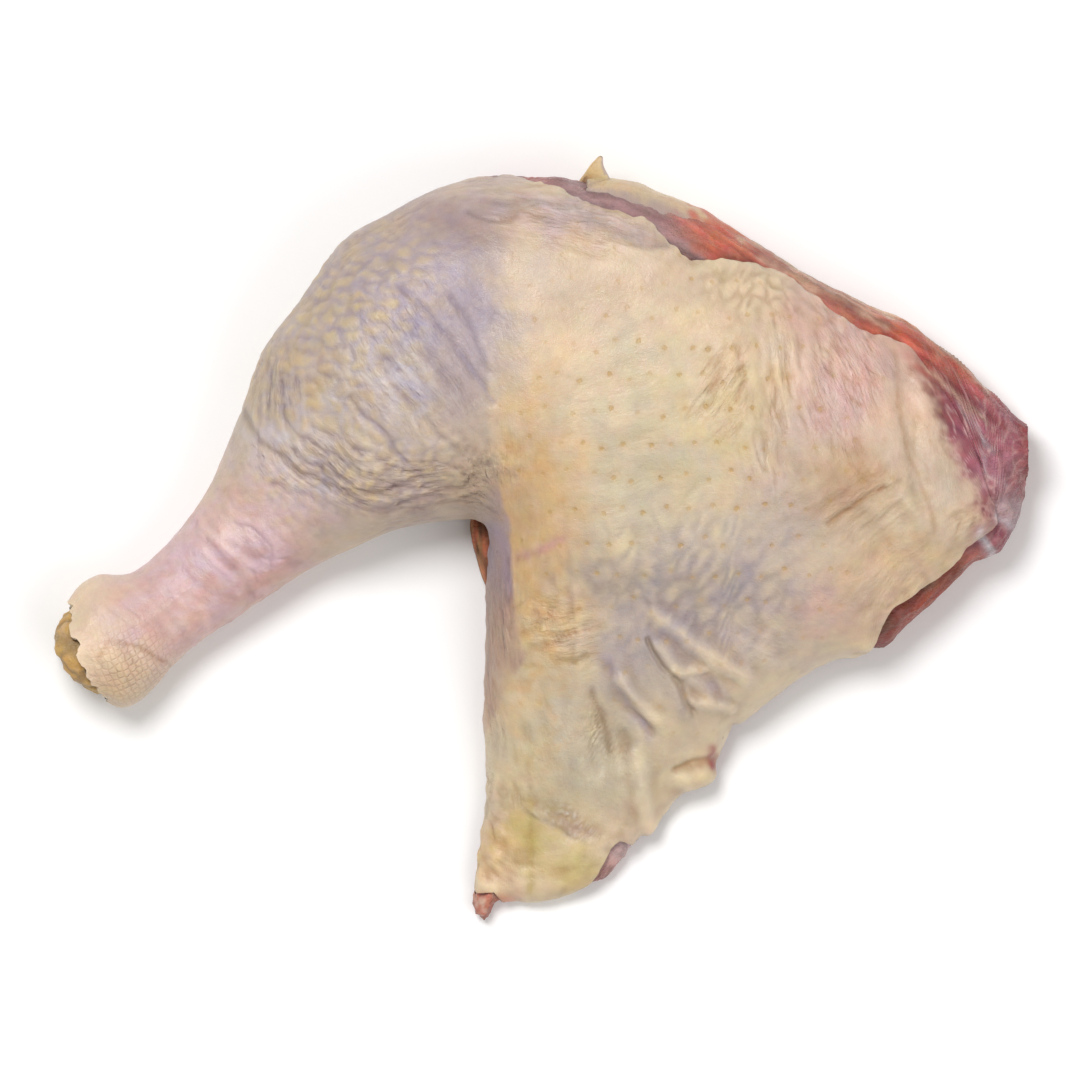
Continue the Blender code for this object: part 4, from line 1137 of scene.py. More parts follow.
def lined_sheet(outer, inner, cells, step):
    """A closed sheet: a fine outer grid, a lining on every step-th row and column, and walls at its edges."""
    rows, columns = outer.shape[:2]
    number = np.arange(rows * columns).reshape(rows, columns)
    lining = rows * columns + np.arange(inner.shape[0] * inner.shape[1]).reshape(inner.shape[:2])
    faces = [
        (number[i, j], number[i, (j + 1) % columns], number[i + 1, (j + 1) % columns], number[i + 1, j])
        for i, j in zip(*np.nonzero(np.repeat(np.repeat(cells, step, axis=0), step, axis=1)))
    ]
    many = cells.shape[1]
    for i, j in zip(*np.nonzero(cells)):
        right = (j + 1) % many
        a, b, c, d = lining[i, j], lining[i, right], lining[i + 1, right], lining[i + 1, j]
        faces.append((d, c, b, a))
        left_column, right_column = j * step, (j + 1) * step % columns
        row = np.arange(i * step, (i + 1) * step + 1)
        column = np.arange(j * step, (j + 1) * step + 1) % columns
        walls = (
            (i == 0 or not cells[i - 1, j], a, b, number[i * step, column]),
            (not cells[i, right], b, c, number[row, right_column]),
            (i == cells.shape[0] - 1 or not cells[i + 1, j], c, d, number[(i + 1) * step, column][::-1]),
            (not cells[i, j - 1], d, a, number[row, left_column][::-1]),
        )
        for is_edge, start, end, chain in walls:
            if is_edge:
                faces.append((start, end, *chain[::-1]))
    return np.concatenate([outer.reshape(-1, 3), inner.reshape(-1, 3)]), faces


# ---------------------------------------------------------------- paint


def cover(colour, over, share_of_it):
    """A colour laid over others with the share given."""
    return colour + (np.array(over) - colour) * np.asarray(share_of_it)[..., None]


def covered(colour, colours, *layers):
    """A colour with layers laid over it, each the name of a colour and its share."""
    for name, share_of_it in layers:
        colour = cover(colour, getattr(colours, name), share_of_it)
    return colour


def painted(plan, base, patches, colours, strokes=()):
    """Colours of points: a base with soft patches and thin strokes laid over it."""
    colour = np.tile(np.array(getattr(colours, base)), (*plan.shape[:-1], 1))
    for name, strength, place in patches:
        colour = cover(colour, getattr(colours, name), strength * blot(plan, place))
    for name, strength, half_width, *through in strokes:
        colour = cover(colour, getattr(colours, name), strength * stroke(plan, through, half_width))
    return colour


def blurred(field, reach):
    """The mean of a field of rings over the neighbouring cells."""
    for axis in (0, 1):
        field = sum(np.roll(field, shift, axis) for shift in range(-reach, reach + 1)) / (2 * reach + 1)
    return field


def hem_turns(stations):
    """The turns of the skin's two hems at stations."""
    return [np.radians(curve_through(table, stations)[:, 0]) for table in (BACK_HEM, BELLY_HEM)]


def grid_between(stations, first, last, columns):
    """Points of the leg's outside in whole rings: so many columns from first to last, and the rest beyond."""
    turns = np.concatenate([
        even_turns(stations, first, last, columns[0]),
        even_turns(stations, last, first + math.tau, columns[1]),
    ], axis=1)
    return turns, leg_surface(stations, turns)


def skin_grid():
    """The skin's fine grid: whole rings, of which only the part between the hems is skin past the slit."""
    stations = np.concatenate([
        even_stations(0, SLIT_START, SKIN_ROWS[0]), even_stations(SLIT_START, SKIN_END, SKIN_ROWS[1]),
        [SKIN_END],
    ])
    rag = np.radians(HEM_RAG) * ease(stations - SLIT_START)
    along = np.stack([stations * HEM_RAG_RATE, 0 * stations, 0 * stations], axis=-1)
    ragged = [turn + rag * rough_noise(along, seed) for turn, seed in zip(hem_turns(stations), HEM_SEEDS)]
    return grid_between(stations, *ragged, SKIN_COLUMNS)[1]


def skin_places():
    """The skin's grid, with what its relief and its paint go by at each of its points."""
    surface, seam = skin_grid(), SKIN_ROWS[0]
    at = SimpleNamespace(
        surface=surface, normals=ring_normals(surface), chart=chart_of(surface), plan=drifted(surface)
    )
    hems = [surface[seam:, 0], surface[seam:, SKIN_COLUMNS[0]], surface[-1]]
    at.gap = gaps_to(np.concatenate(hems), surface)
    at.flush = blot(surface, FLUSH_PLACE)
    right_of_knee = ease((at.plan[..., 0] - PIT_FADE_X[0]) / (PIT_FADE_X[1] - PIT_FADE_X[0]))
    at.on_thigh = np.maximum(right_of_knee, ease((FLAP_TOP - surface[..., 1]) / FLAP_FADE))
    at.pit_offset, numbers, leads = pit_offsets(surface, pit_places(surface, at.normals))
    at.from_pit = np.linalg.norm(at.pit_offset, axis=-1)
    luck = 0.5 + 0.5 * cell_randoms(np.stack([numbers] * 3, axis=-1), PIT_LUCK_SEED)[..., 0]
    at.pitted = at.on_thigh * blot(at.plan, PIT_AREA) * (PIT_LEAST + (1 - PIT_LEAST) * luck)
    at.pit_share = at.pitted * (at.from_pit < PIT_REACH) * (leads > PIT_LEAD)
    return at


def skin_colours(at, lumps, relief, creases):
    """The skin's colours: patches, lumps, the strip in the bend of the knee, creases, strokes and pits, with
    painted shade in creases and hollows and painted highlight on ridges.
    """
    sizes, colours = bpy.context.scene.turkey_leg_sizes, bpy.context.scene.turkey_leg_colours
    flat, drift = at.surface[..., :2], at.plan - at.surface[..., :2]
    colour = painted(at.plan, "cream", SKIN_PATCHES, colours)
    colour = covered(colour, colours, *mottles_on(at.surface, at.plan))
    fleck = np.clip(0.5 + 1.1 * noise_on(at.surface, "fleck"), 0, 1)
    for place, domes, _, top, top_share, valley, valley_share in lumps:
        tops = place * domes * top_share * (LUMP_LEAST_TINT + (1 - LUMP_LEAST_TINT) * fleck)
        colour = covered(colour, colours, (top, tops), (valley, place * (1 - domes) * valley_share * fleck))
    for name, strength, place, soft, line in SHARP_PATCHES:
        side, _ = side_of(flat + min(soft / SOFT_SIDE, 1) * drift, line)
        colour = covered(colour, colours, (name, strength * ease(0.5 + side / soft) * blot(at.plan, place)))
    # Painted shade: hollows of the relief and the creases are darkened towards the crease colours, then a
    # painted highlight lightens the ridges and a little more shade darkens the hollows.
    hollow = relief - blurred(relief, CREASE_BLUR)
    deep = np.clip(-hollow, 0, HOLLOW_MOST) + CREASE_SHADE_AND_STAIN * creases
    crease_shade_and_stain = DRUMSTICK_CREASE + (THIGH_CREASE - DRUMSTICK_CREASE) * at.on_thigh[..., None]
    colour = colour * (1 - np.clip(deep, 0, 1)[..., None] * (1 - crease_shade_and_stain))
    colour = colour * (1 + np.clip(hollow, -0.3, HOLLOW_MOST) * RIDGE_LIGHT)[..., None]
    for name, strength, half_width, *through in SKIN_STROKES:
        worn = strength * (STROKE_LEAST + (1 - STROKE_LEAST) * fleck)
        streak = stroke(flat + STROKE_DRIFT * drift, through, half_width)
        colour = covered(colour, colours, (name, worn * streak))
    fading = FLUSH_FADE + FILM_WANDER * noise_on(at.surface, "film edge") - at.gap
    meat = flesh_colours(at.surface, *strands_of(at.surface, sizes.meat_strand / MM))
    colour = cover(colour, meat, ease(fading / FILM_WIDTH) * ease(at.flush * FLUSH_GAIN))
    wide = noise_on(at.surface, "broad tone")
    colour = colour * (1 + SPECK_SWING * noise_on(at.surface, "speck") + TONE_SWING * wide)[..., None]
    colour = colour * (1 + TONE_TINT * wide[..., None])
    strength, radius = PIT_STAIN
    return covered(colour, colours, ("amber", strength * at.pitted * np.exp(-((at.from_pit / radius) ** 2))))


def skin_relief(at, wrinkles, lumps):
    """How far the skin's outside stands out from the leg's smooth form."""
    sizes = bpy.context.scene.turkey_leg_sizes
    relief = sizes.wrinkle_height * wrinkles + sizes.line_height * line_relief(at.surface)
    for place, domes, height, *_ in lumps:
        relief += sizes.lump_height * height * place * (domes - LUMP_LEVEL)
    relief += SWELL_HEIGHT * noise_on(at.surface, "swell")
    relief += blot(at.plan, PIMPLE_PLACE) * PIMPLE_HEIGHT * np.exp(-((at.from_pit / PIMPLE_RADIUS) ** 2))
    relief -= at.pitted * PIT_DEPTH * np.exp(-((at.from_pit / PIT_RADIUS) ** 2))
    near_hem = np.exp(-((at.gap / HEM_RUFFLE_REACH) ** 2))
    ruffle = noise_on(at.surface, "ruffle") * (1 - 0.8 * at.flush) + HEM_LIFT
    relief = relief * (1 - HEM_CALM * near_hem) + HEM_RUFFLE * near_hem * ruffle
    relief = np.maximum(relief, -HEM_LEAST_RELIEF[0] - HEM_LEAST_RELIEF[1] * at.gap)
    relief -= FLUSH_SINK * np.exp(-at.gap / FLUSH_SINK_REACH) * ease(at.flush * FLUSH_GAIN)
    return np.where(at.normals[..., 2] < -0.5, np.minimum(relief, 0) * 0.3, relief)


def skin_sheets(at, relief):
    """The skin's outside and its lining, both with the ragged rim at the hock."""
    sizes = bpy.context.scene.turkey_leg_sizes
    full = ease(at.gap / FULL_THICKNESS_GAP)
    thickness = sizes.hem_thickness + (sizes.skin_thickness - sizes.hem_thickness) * full
    lowest = relief
    for axis, shift in product((0, 1), (-3, -1, 1, 3)):
        lowest = np.minimum(lowest, np.roll(relief, shift, axis))
    rim_rows = np.clip(1 - np.arange(len(relief)) / RIM_RAG_ROWS, 0, 1)[:, None]
    rag = rim_rows * np.clip(noise_on(at.surface[0], "rim rag") * RIM_RAG + RIM_RAG_MIDDLE, 0, RIM_RAG_MOST)
    up_the_leg = at.surface[RIM_RAG_ROWS].mean(axis=0) - at.surface[0].mean(axis=0)
    up_the_leg /= np.linalg.norm(up_the_leg)
    sheets = []
    for height, level in zip((relief, np.minimum(lowest, 0) - thickness / MM), LEAST_LEVELS):
        sheet = at.surface + at.normals * height[..., None]
        sheet[..., 2] = np.maximum(sheet[..., 2], level)
        sheets.append(sheet + up_the_leg * rag[..., None])
    return sheets


def build_skin():
    """The skin: a sleeve round the drumstick, and a wrinkled sheet over the top of the thigh."""
    at = skin_places()
    wrinkles, creases, fine_share, fine_places = wrinkle_relief(at.surface, at.plan)
    lumps = list(lumps_on(at.surface, at.plan, at.chart))
    relief = skin_relief(at, wrinkles, lumps)
    outer, inner = skin_sheets(at, relief)
    flat = at.surface[..., :2]
    fields = {
        "tint": np.clip(skin_colours(at, lumps, relief, creases), 0, 1),
        "pit_offset": at.pit_offset,
        "pit_share": at.pit_share,
        "fine_place": fine_places,
        "fine_share": fine_share,
        "chart": np.pad(at.chart, ((0, 0), (0, 0), (0, 1))),
        "scaly": blot(flat + SCALY_DRIFT * (at.plan - flat), SCALY_PLACE),
        "on_thigh": at.on_thigh,
    }
    rows, columns = relief.shape
    seam = SKIN_ROWS[0]
    cells = np.zeros(((rows - 1) // LINING_STEP, columns // LINING_STEP), bool)
    cells[: seam // LINING_STEP] = True
    cells[:, : SKIN_COLUMNS[0] // LINING_STEP] = True
    looks, smooth = skin_material(), ring_normals(outer)
    pieces = []
    for name, part in (("sleeve_visual", slice(0, seam + 1)), ("skin_visual", slice(seam, rows))):
        used = cells[part.start // LINING_STEP : (part.stop - 1) // LINING_STEP]
        lining = inner[part][::LINING_STEP, ::LINING_STEP]
        points, faces = lined_sheet(outer[part], lining, used, LINING_STEP)
        own = {field: with_lining(values[part]) for field, values in fields.items()}
        pieces.append(make_piece(name, points, faces, looks, own, with_lining(smooth[part], -1)))
    return pieces


def with_lining(values, sign=1):
    """The values of a sheet's outer points followed by those of its lining."""
    lining = sign * values[::LINING_STEP, ::LINING_STEP]
    return np.concatenate([part.reshape(-1, *values.shape[2:]) for part in (values, lining)])


def strands_of(surface, strand):
    """The coarse and the fine strands of the meat at places, from about -1 to 1."""
    lower = ease(blot(surface, LOWER_MEAT) * MEAT_GAIN)
    layers = []
    for number, (width, long) in enumerate(STRAND_LAYERS):
        runs = [grain_places(surface, ("straight", way), strand * width, long) for way in MEAT_WAYS]
        upper_run, lower_run = (soft_noise(run, MEAT_SEED + number) for run in runs)
        layers.append(upper_run * (1 - lower) + lower_run * lower)
    return layers


def flesh_colours(surface, strands, fine):
    """The colours of bare meat, with the milky film and seams on it."""
    colours = bpy.context.scene.turkey_leg_colours
    colour = painted(drifted(surface, MEAT_WANDER), "maroon", MEAT_PATCHES, colours, MEAT_STROKES)
    colour *= (1 + 0.45 * np.clip(strands, -0.6, 0.6) + 0.2 * fine)[..., None]
    veins = 1 - np.minimum(np.abs(noise_on(surface, "veins")) * VEIN_FINENESS, 1)
    return covered(
        colour, colours,
        ("maroon", 0.45 * ease(noise_on(surface, "meat blotch") * 2 - 0.3) * blot(surface, REDDER_MEAT)),
        ("pale", 0.6 * blot(surface, TIP_PLACE) * ease(noise_on(surface, "tip fat") * 2)),
        ("pink", (0.12 + 0.65 * blot(surface, VEINED_MEAT)) * veins),
    )


def build_meat():
    """The meat with its strands, bare round the skin and underneath."""
    sizes, colours = bpy.context.scene.turkey_leg_sizes, bpy.context.scene.turkey_leg_colours
    stations = np.append(even_stations(MEAT_START, LEG_END, MEAT_ROWS), LEG_END)
    back, belly = hem_turns(stations)
    inset, middle = np.radians(MEAT_INSET), 0.5 * (back + belly)
    first, last = np.minimum(back + inset, middle - 0.01), np.maximum(belly - inset, middle + 0.01)
    turns, surface = grid_between(stations, first, last, MEAT_COLUMNS)
    normals, once = ring_normals(surface), turns % math.tau
    wrapped = (once > back[:, None]) & (once < belly[:, None]) & (stations[:, None] < SKIN_END)
    wrapped |= stations[:, None] < SLIT_START
    hems = np.linspace(SLIT_START, SKIN_END, HEM_PROBES)
    gap = gaps_to(leg_surface(hems, np.stack(hem_turns(hems), axis=1)).reshape(-1, 3), surface)
    signed = np.where(wrapped, gap, -gap)
    depth = np.interp(signed, *MEAT_DEPTH)
    for place, table in ((FLUSH_PLACE, FLUSH_MEAT_DEPTH), (LOWER_MEAT, HOLLOW_MEAT_DEPTH)):
        depth += (np.interp(signed, *table) - depth) * ease(blot(surface, place) * MEAT_GAIN)

    strands, fine = strands_of(surface, sizes.meat_strand / MM)
    relief = 0.7 * (np.abs(strands) - 0.3) + 0.25 * fine + 0.6 * noise_on(surface, "meat lumps")
    relief += 1.3 * noise_on(surface, "tip lumps") * blot(surface, TIP_PLACE)
    relief *= ease((2 - signed) / 4) * np.where(normals[..., 2] < -0.9, 0.2, 1)
    points = surface + normals * (relief - depth)[..., None]
    points[..., 2] = np.maximum(points[..., 2], 0.0)
    # Painted shade: where the meat faces down, a darker coral is laid over it.
    under = np.array(colours.coral) * UNDERSIDE_PAINTED_SHADE
    colour = cover(flesh_colours(surface, strands, fine), under, 0.6 * ease(-normals[..., 2] * 2))
    return add_loft("meat_visual", points, colour, flesh_material("raw meat"))


def build_tongue():
    """The tongue of the thigh's inner meat in the bend of the knee."""
    colours = bpy.context.scene.turkey_leg_colours
    along = np.linspace(0, len(TONGUE_RINGS) - 1, TONGUE_GRID[0])
    rows = curve_through([(k, *ring) for k, ring in enumerate(TONGUE_RINGS)], along)
    angles = np.linspace(0, math.tau, TONGUE_GRID[1], endpoint=False)
    x, y, z, across, up = (rows[:, k, None] for k in range(5))
    rings = np.stack([x + across * np.cos(angles), y + 0 * angles, z + up * np.sin(angles)], axis=-1)
    strands = noise_on(rings, "tongue strands")
    rings = rings + ring_normals(rings) * (0.5 * np.abs(strands) - 0.2)[..., None]
    colour = covered(
        np.array(colours.maroon), colours,
        ("rust", 0.8 * ease(0.4 - rings[..., 0] / 6 - 2.7)),
        ("scarlet", 0.5 * ease(noise_on(rings, "tongue streaks") * 2)),
    )
    colour *= (0.9 + 0.9 * strands)[..., None]
    return add_loft("tongue_visual", rings, colour, flesh_material("raw meat"))


def build_joint():
    """The gristly joint end: a stub inside the skin and two knuckles that stand out of it."""
    colours = bpy.context.scene.turkey_leg_colours
    stations = np.linspace(0, STUB_END, 8)
    turns = np.tile(np.linspace(0, math.tau, JOINT_COLUMNS, endpoint=False), (len(stations), 1))
    surface = leg_surface(stations, turns)
    stub = surface - ring_normals(surface) * STUB_DEPTH
    rim, middle = stub[0], stub[0].mean(axis=0)
    outward = (middle - stub[1].mean(axis=0)) * (1, 1, 0)
    outward /= np.linalg.norm(outward)
    sideways = np.cross((0, 0, 1), outward)
    side = (rim - middle) @ sideways
    lobes = []
    for angle in np.linspace(math.pi / 2, 0, KNUCKLE_RINGS)[1:-1]:
        ring = middle + (rim - middle) * math.cos(angle) ** KNUCKLE_BLUNTNESS
        groove = KNUCKLE_GROOVE * np.exp(-(((ring[:, 2] - middle[2]) / GROOVE_HALF_WIDTH) ** 2))
        reach = KNUCKLE_REACH * math.sin(angle) * (1 - groove - KNUCKLE_TILT * side / np.abs(side).max())
        lobes.append(ring + outward * reach[:, None])
    rings = np.concatenate([np.array(lobes), stub])
    width, height = PLATE_SIZE
    places = [(rings - middle) @ sideways / width, rings[..., 2] / height, 0 * rings[..., 2]]
    warp = 0.2 * noise_on(rings, "joint warp")[..., None] * (1, 1, 0)
    plates = cell_lumps(np.stack(places, axis=-1) + warp, PLATE_SEED)
    relief = 0.5 * noise_on(rings, "joint lumps") + 0.3 * np.abs(noise_on(rings, "joint grain"))
    relief = relief + 0.8 * (plates - 0.7)
    rings = rings + ring_normals(rings) * (relief - 0.4)[..., None]
    mottle = noise_on(rings, "joint mottle")
    colour = covered(
        np.array(colours.butter) * JOINT_SHADE, colours,
        ("rust", 0.35 * ease(mottle * 1.3)),
        ("pale", 0.25 * ease(-mottle * 1.5 - 0.2)),
        # Painted shade in the gaps between the gristle's plates.
        ("umber", 0.6 * (1 - plates) ** 1.5),
    )
    return add_loft("joint_visual", rings, colour, flesh_material("gristle"))


def turned_about_y(degrees):
    """The matrix that turns rows of points about the y axis, from +z towards +x."""
    cosine, sine = math.cos(math.radians(degrees)), math.sin(math.radians(degrees))
    return np.array([(cosine, 0, -sine), (0, 1, 0), (sine, 0, cosine)])


def build_fat():
    """The strip of fat on the cut top edge, its end peeled off and curling up."""
    colours = bpy.context.scene.turkey_leg_colours
    stations = np.linspace(FAT_START, FAT_END, FAT_GRID[0])
    under = np.radians(curve_through(FAT_UNDER, stations)[:, 0])
    inner = np.radians(curve_through(FAT_INNER, stations)[:, 0] + FAT_SPREAD)
    share_across = np.linspace(0, 1, FAT_GRID[1])
    surface = leg_surface(stations, under[:, None] + (inner - under)[:, None] * share_across)
    normals = np.cross(np.gradient(surface, axis=1), np.gradient(surface, axis=0))
    normals /= np.linalg.norm(normals, axis=-1, keepdims=True)
    round_edge = np.sqrt(np.clip(1 - (2 * share_across - 1) ** 6, 0, 1)) * np.ones((len(stations), 1))
    raised = FAT_PROUD + 0.5 + 0.5 * noise_on(surface, "fat lumps")
    raised = raised * round_edge * ease((FAT_END - stations) / 1.2)[:, None]
    raised = raised - FAT_SINK * ease((share_across - 0.7) / 0.3)
    faces = [surface + normals * raised[..., None], surface - normals * FAT_DEPTH]
    middle = surface[0].mean(axis=0)
    rows = [(k, *row) for k, row in enumerate(CURL_PATH + [(0, 0, 0, 1, 0)])]
    path = curve_through(rows, np.linspace(0, len(CURL_PATH), CURL_RINGS))[:-1]
    sheets = []
    for face in faces:
        curl = [middle + row[:3] + (face[0] - middle) * row[3] @ turned_about_y(row[4]) for row in path]
        sheets.append(np.concatenate([curl, face]))
    rings = np.concatenate([sheets[0], sheets[1][:, ::-1]], axis=1)
    mottle = noise_on(rings, "fat mottle")
    inward = np.concatenate([share_across, share_across[::-1]]) + 0.08 * mottle
    colour = covered(
        np.array(colours.cream) * FAT_SHADE, colours,
        ("butter", 0.7 * ease(mottle + 0.4)),
        ("mauve", 0.9 * ease((inward - 0.72) / 0.2)),
        ("scarlet", 0.95 * ease((rings[..., 0] + 8 * mottle + 12 * inward - FAT_RED_FROM) / 12)),
    )
    return add_loft("fat_visual", rings, colour, flesh_material("raw fat"))


# ---------------------------------------------------------------- materials

# Moist materials: roughness where wet and dry, specular level, subsurface weight and radii; then the mottle's
# scale and amount, the grain's scale, fine share and depth, and the depth of the strands.
LOOKS = {
    "raw meat": (
        (0.18, 0.42), 0.28, 0.12, (0.005, 0.0015, 0.001), (500.0, 0.35), (900.0, 0.4, 0.0003), 0.0008,
    ),
    "raw fat": ((0.25, 0.45), 0.5, 0.2, (0.004, 0.003, 0.0015), (350.0, 0.15), (500.0, 0.4, 0.0005), 0),
    "gristle": ((0.2, 0.6), 0.5, 0.1, (0.003, 0.002, 0.001), (300.0, 0.4), (450.0, 0.5, 0.0008), 0),
}
SKIN_LOOKS = ((0.26, 0.47), 0.5, 0.1, (0.004, 0.002, 0.001))
PIT_DOT = 1.0


class Output:
    """What a node puts out. Sums with a number are done by Math nodes."""

    def __init__(self, socket):
        self.socket = socket

    def math(self, operation, a, b=0.0):
        node = add_node(self.socket.id_data, "ShaderNodeMath", {"operation": operation}, n0=a, n1=b)
        return Output(node.outputs[0])

    def __add__(self, other):
        return self.math("ADD", self, other)

    def __sub__(self, other):
        return self.math("SUBTRACT", self, other)

    def __rsub__(self, other):
        return self.math("SUBTRACT", other, self)

    def __mul__(self, other):
        return self.math("MULTIPLY", self, other)

    def __truediv__(self, other):
        return self.math("DIVIDE", self, other)

    def __abs__(self):
        return self.math("ABSOLUTE", self)

    def clamped(self):
        self.socket.node.use_clamp = True
        return self

    def into(self, socket):
        self.socket.id_data.links.new(self.socket, socket)


def add_node(tree, kind, settings=(), **values):
    """Add a node, set its options, and set or link its inputs by name or number."""
    node = tree.nodes.new(kind)
    for option, value in dict(settings).items():
        setattr(node, option, value)
    for name, value in values.items():
        socket = node.inputs[int(name[1:]) if name.startswith("n") else name.replace("_", " ")]
        if isinstance(value, Output):
            value.into(socket)
        else:
            socket.default_value = value
    return node


def outputs_of(node):
    """A node's outputs by name."""
    return {socket.name: Output(socket) for socket in node.outputs}


def start_group(name, inputs, outputs):
    """Start a node group with named sockets: the group, what it is given, and where its results go."""
    group = bpy.data.node_groups.new(name, "ShaderNodeTree")
    for label, kind, value in inputs:
        socket = group.interface.new_socket(name=label, in_out="INPUT", socket_type="NodeSocket" + kind)
        socket.default_value = value
    for label, kind in outputs:
        group.interface.new_socket(name=label, in_out="OUTPUT", socket_type="NodeSocket" + kind)
    return group, outputs_of(group.nodes.new("NodeGroupInput")), group.nodes.new("NodeGroupOutput").inputs


def object_places(tree):
    """The place on the object, in metres."""
    return Output(tree.nodes.new("ShaderNodeTexCoord").outputs["Object"])


def noise_value(tree, vector, scale, detail=3.0, roughness=0.55):
    """The value of a Noise texture."""
    settings = {"Vector": vector, "Scale": scale, "Detail": detail, "Roughness": roughness}
    return Output(add_node(tree, "ShaderNodeTexNoise", **settings).outputs[0])


def grain_group(name):
    """Fine bumps of a moist surface: coarse ones, and finer ones on them."""
    group, given, made = start_group(
        name, [("Scale", "Float", 900.0), ("Fine Share", "Float", 0.4)], [("Height", "Float")]
    )
    place = object_places(group)
    coarse = noise_value(group, place, given["Scale"], 4.0)
    fine = noise_value(group, place, given["Scale"] * 3.3, 2.0)
    (coarse + fine * given["Fine Share"]).into(made["Height"])
    return group


def mottle_group(name):
    """Colour that varies a little in light and hue over the surface."""
    inputs = [("Color", "Color", (0.6, 0.5, 0.4, 1)), ("Scale", "Float", 300.0), ("Amount", "Float", 0.1)]
    group, given, made = start_group(name, inputs, [("Color", "Color")])
    place = object_places(group)
    light = noise_value(group, place, given["Scale"], 5.0, 0.65)
    hue = noise_value(group, place, given["Scale"] * 0.45, 3.0)
    adjusted = add_node(
        group, "ShaderNodeHueSaturation",
        Hue=(hue - 0.5) * 0.05 + 0.5, Value=(light - 0.5) * given["Amount"] + 1.0, Color=given["Color"],
    )
    outputs_of(adjusted)["Color"].into(made["Color"])
    return group


def wet_group(name):
    """Roughness between wet and dry patches."""
    levels = (("Scale", 90.0), ("Wet", 0.25), ("Dry", 0.5), ("Share", 0.5))
    inputs = [(label, "Float", value) for label, value in levels]
    group, given, made = start_group(name, inputs, [("Roughness", "Float")])
    patches = noise_value(group, object_places(group), given["Scale"], 4.0, 0.6)
    wet_here = (patches * 2.2 - 1.1 + given["Share"]).clamped()
    (wet_here * (given["Wet"] - given["Dry"]) + given["Dry"]).into(made["Roughness"])
    return group


def pit_group(name):
    """Feather pits: a brown dot and a dimple where the offset from the nearest pit is short."""
    inputs = [("Offset", "Vector", (0, 0, 0)), ("Share", "Float", 0.0), ("Radius", "Float", 0.9)]
    group, given, made = start_group(name, inputs, [("Mask", "Float"), ("Height", "Float")])
    noise = add_node(group, "ShaderNodeTexNoise", Vector=object_places(group), Scale=1100.0)
    value = outputs_of(noise)["Color"]
    steps = (
        ("SUBTRACT", "Vector", {"n1": (0.5, 0.5, 0.5)}), ("SCALE", "Vector", {"Scale": 1.1}),
        ("ADD", "Vector", {"n1": given["Offset"]}), ("LENGTH", "Value", {}),
    )
    for operation, result, others in steps:
        node = add_node(group, "ShaderNodeVectorMath", {"operation": operation}, n0=value, **others)
        value = outputs_of(node)[result]
    inside = (1.0 - value / given["Radius"]).clamped()
    mask = (inside * 1.8).clamped() * given["Share"]
    mask.into(made["Mask"])
    (mask * -1.0).into(made["Height"])
    return group


GROUPS = {
    "moist grain": grain_group, "mottled colour": mottle_group,
    "wet film": wet_group, "feather pits": pit_group,
}


def use_group(tree, name, **values):
    """Place a node group, made when it is first used, in a material with its own values."""
    group = bpy.data.node_groups[name] if name in bpy.data.node_groups else GROUPS[name](name)
    return outputs_of(add_node(tree, "ShaderNodeGroup", {"node_tree": group}, **values))


def field(tree, name, output="Fac"):
    """A point field of the mesh."""
    return outputs_of(add_node(tree, "ShaderNodeAttribute", {"attribute_name": name}))[output]


def start_material(name, roughness, specular, subsurface, radii):
    """A material with a wet film: the material, its tree and its shader."""
    looks = bpy.data.materials.new(name)
    looks.use_nodes = True
    tree = looks.node_tree
    shader = tree.nodes["Principled BSDF"]
    shader.inputs["Specular IOR Level"].default_value = specular
    shader.inputs["Subsurface Weight"].default_value = subsurface
    shader.inputs["Subsurface Radius"].default_value = radii
    shader.inputs["Subsurface Scale"].default_value = 1.0
    wetness = bpy.context.scene.turkey_leg_sizes.wetness
    film = use_group(tree, "wet film", Scale=110.0, Wet=roughness[0], Dry=roughness[1], Share=wetness)
    film["Roughness"].into(shader.inputs["Roughness"])
    return looks, tree, shader


def add_bump(tree, shader, height, distance):
    """Give the shader a bump of the height given, over any bump it has already."""
    bump = add_node(tree, "ShaderNodeBump", Height=height, Distance=distance, Strength=1.0)
    if shader.inputs["Normal"].is_linked:
        tree.links.new(shader.inputs["Normal"].links[0].from_socket, bump.inputs["Normal"])
    outputs_of(bump)["Normal"].into(shader.inputs["Normal"])


def add_grain(tree, shader, scale, fine_share, depth):
    """Give the shader the fine bumps of a moist surface."""
    grain = use_group(tree, "moist grain", Scale=scale, Fine_Share=fine_share)
    add_bump(tree, shader, grain["Height"], depth)


def mixed_colour(tree, factor, a, b, blend="MIX"):
    """Two colours mixed by a factor."""
    node = add_node(tree, "ShaderNodeMix", {"data_type": "RGBA", "blend_type": blend}, n0=factor, n6=a, n7=b)
    return Output(node.outputs[2])


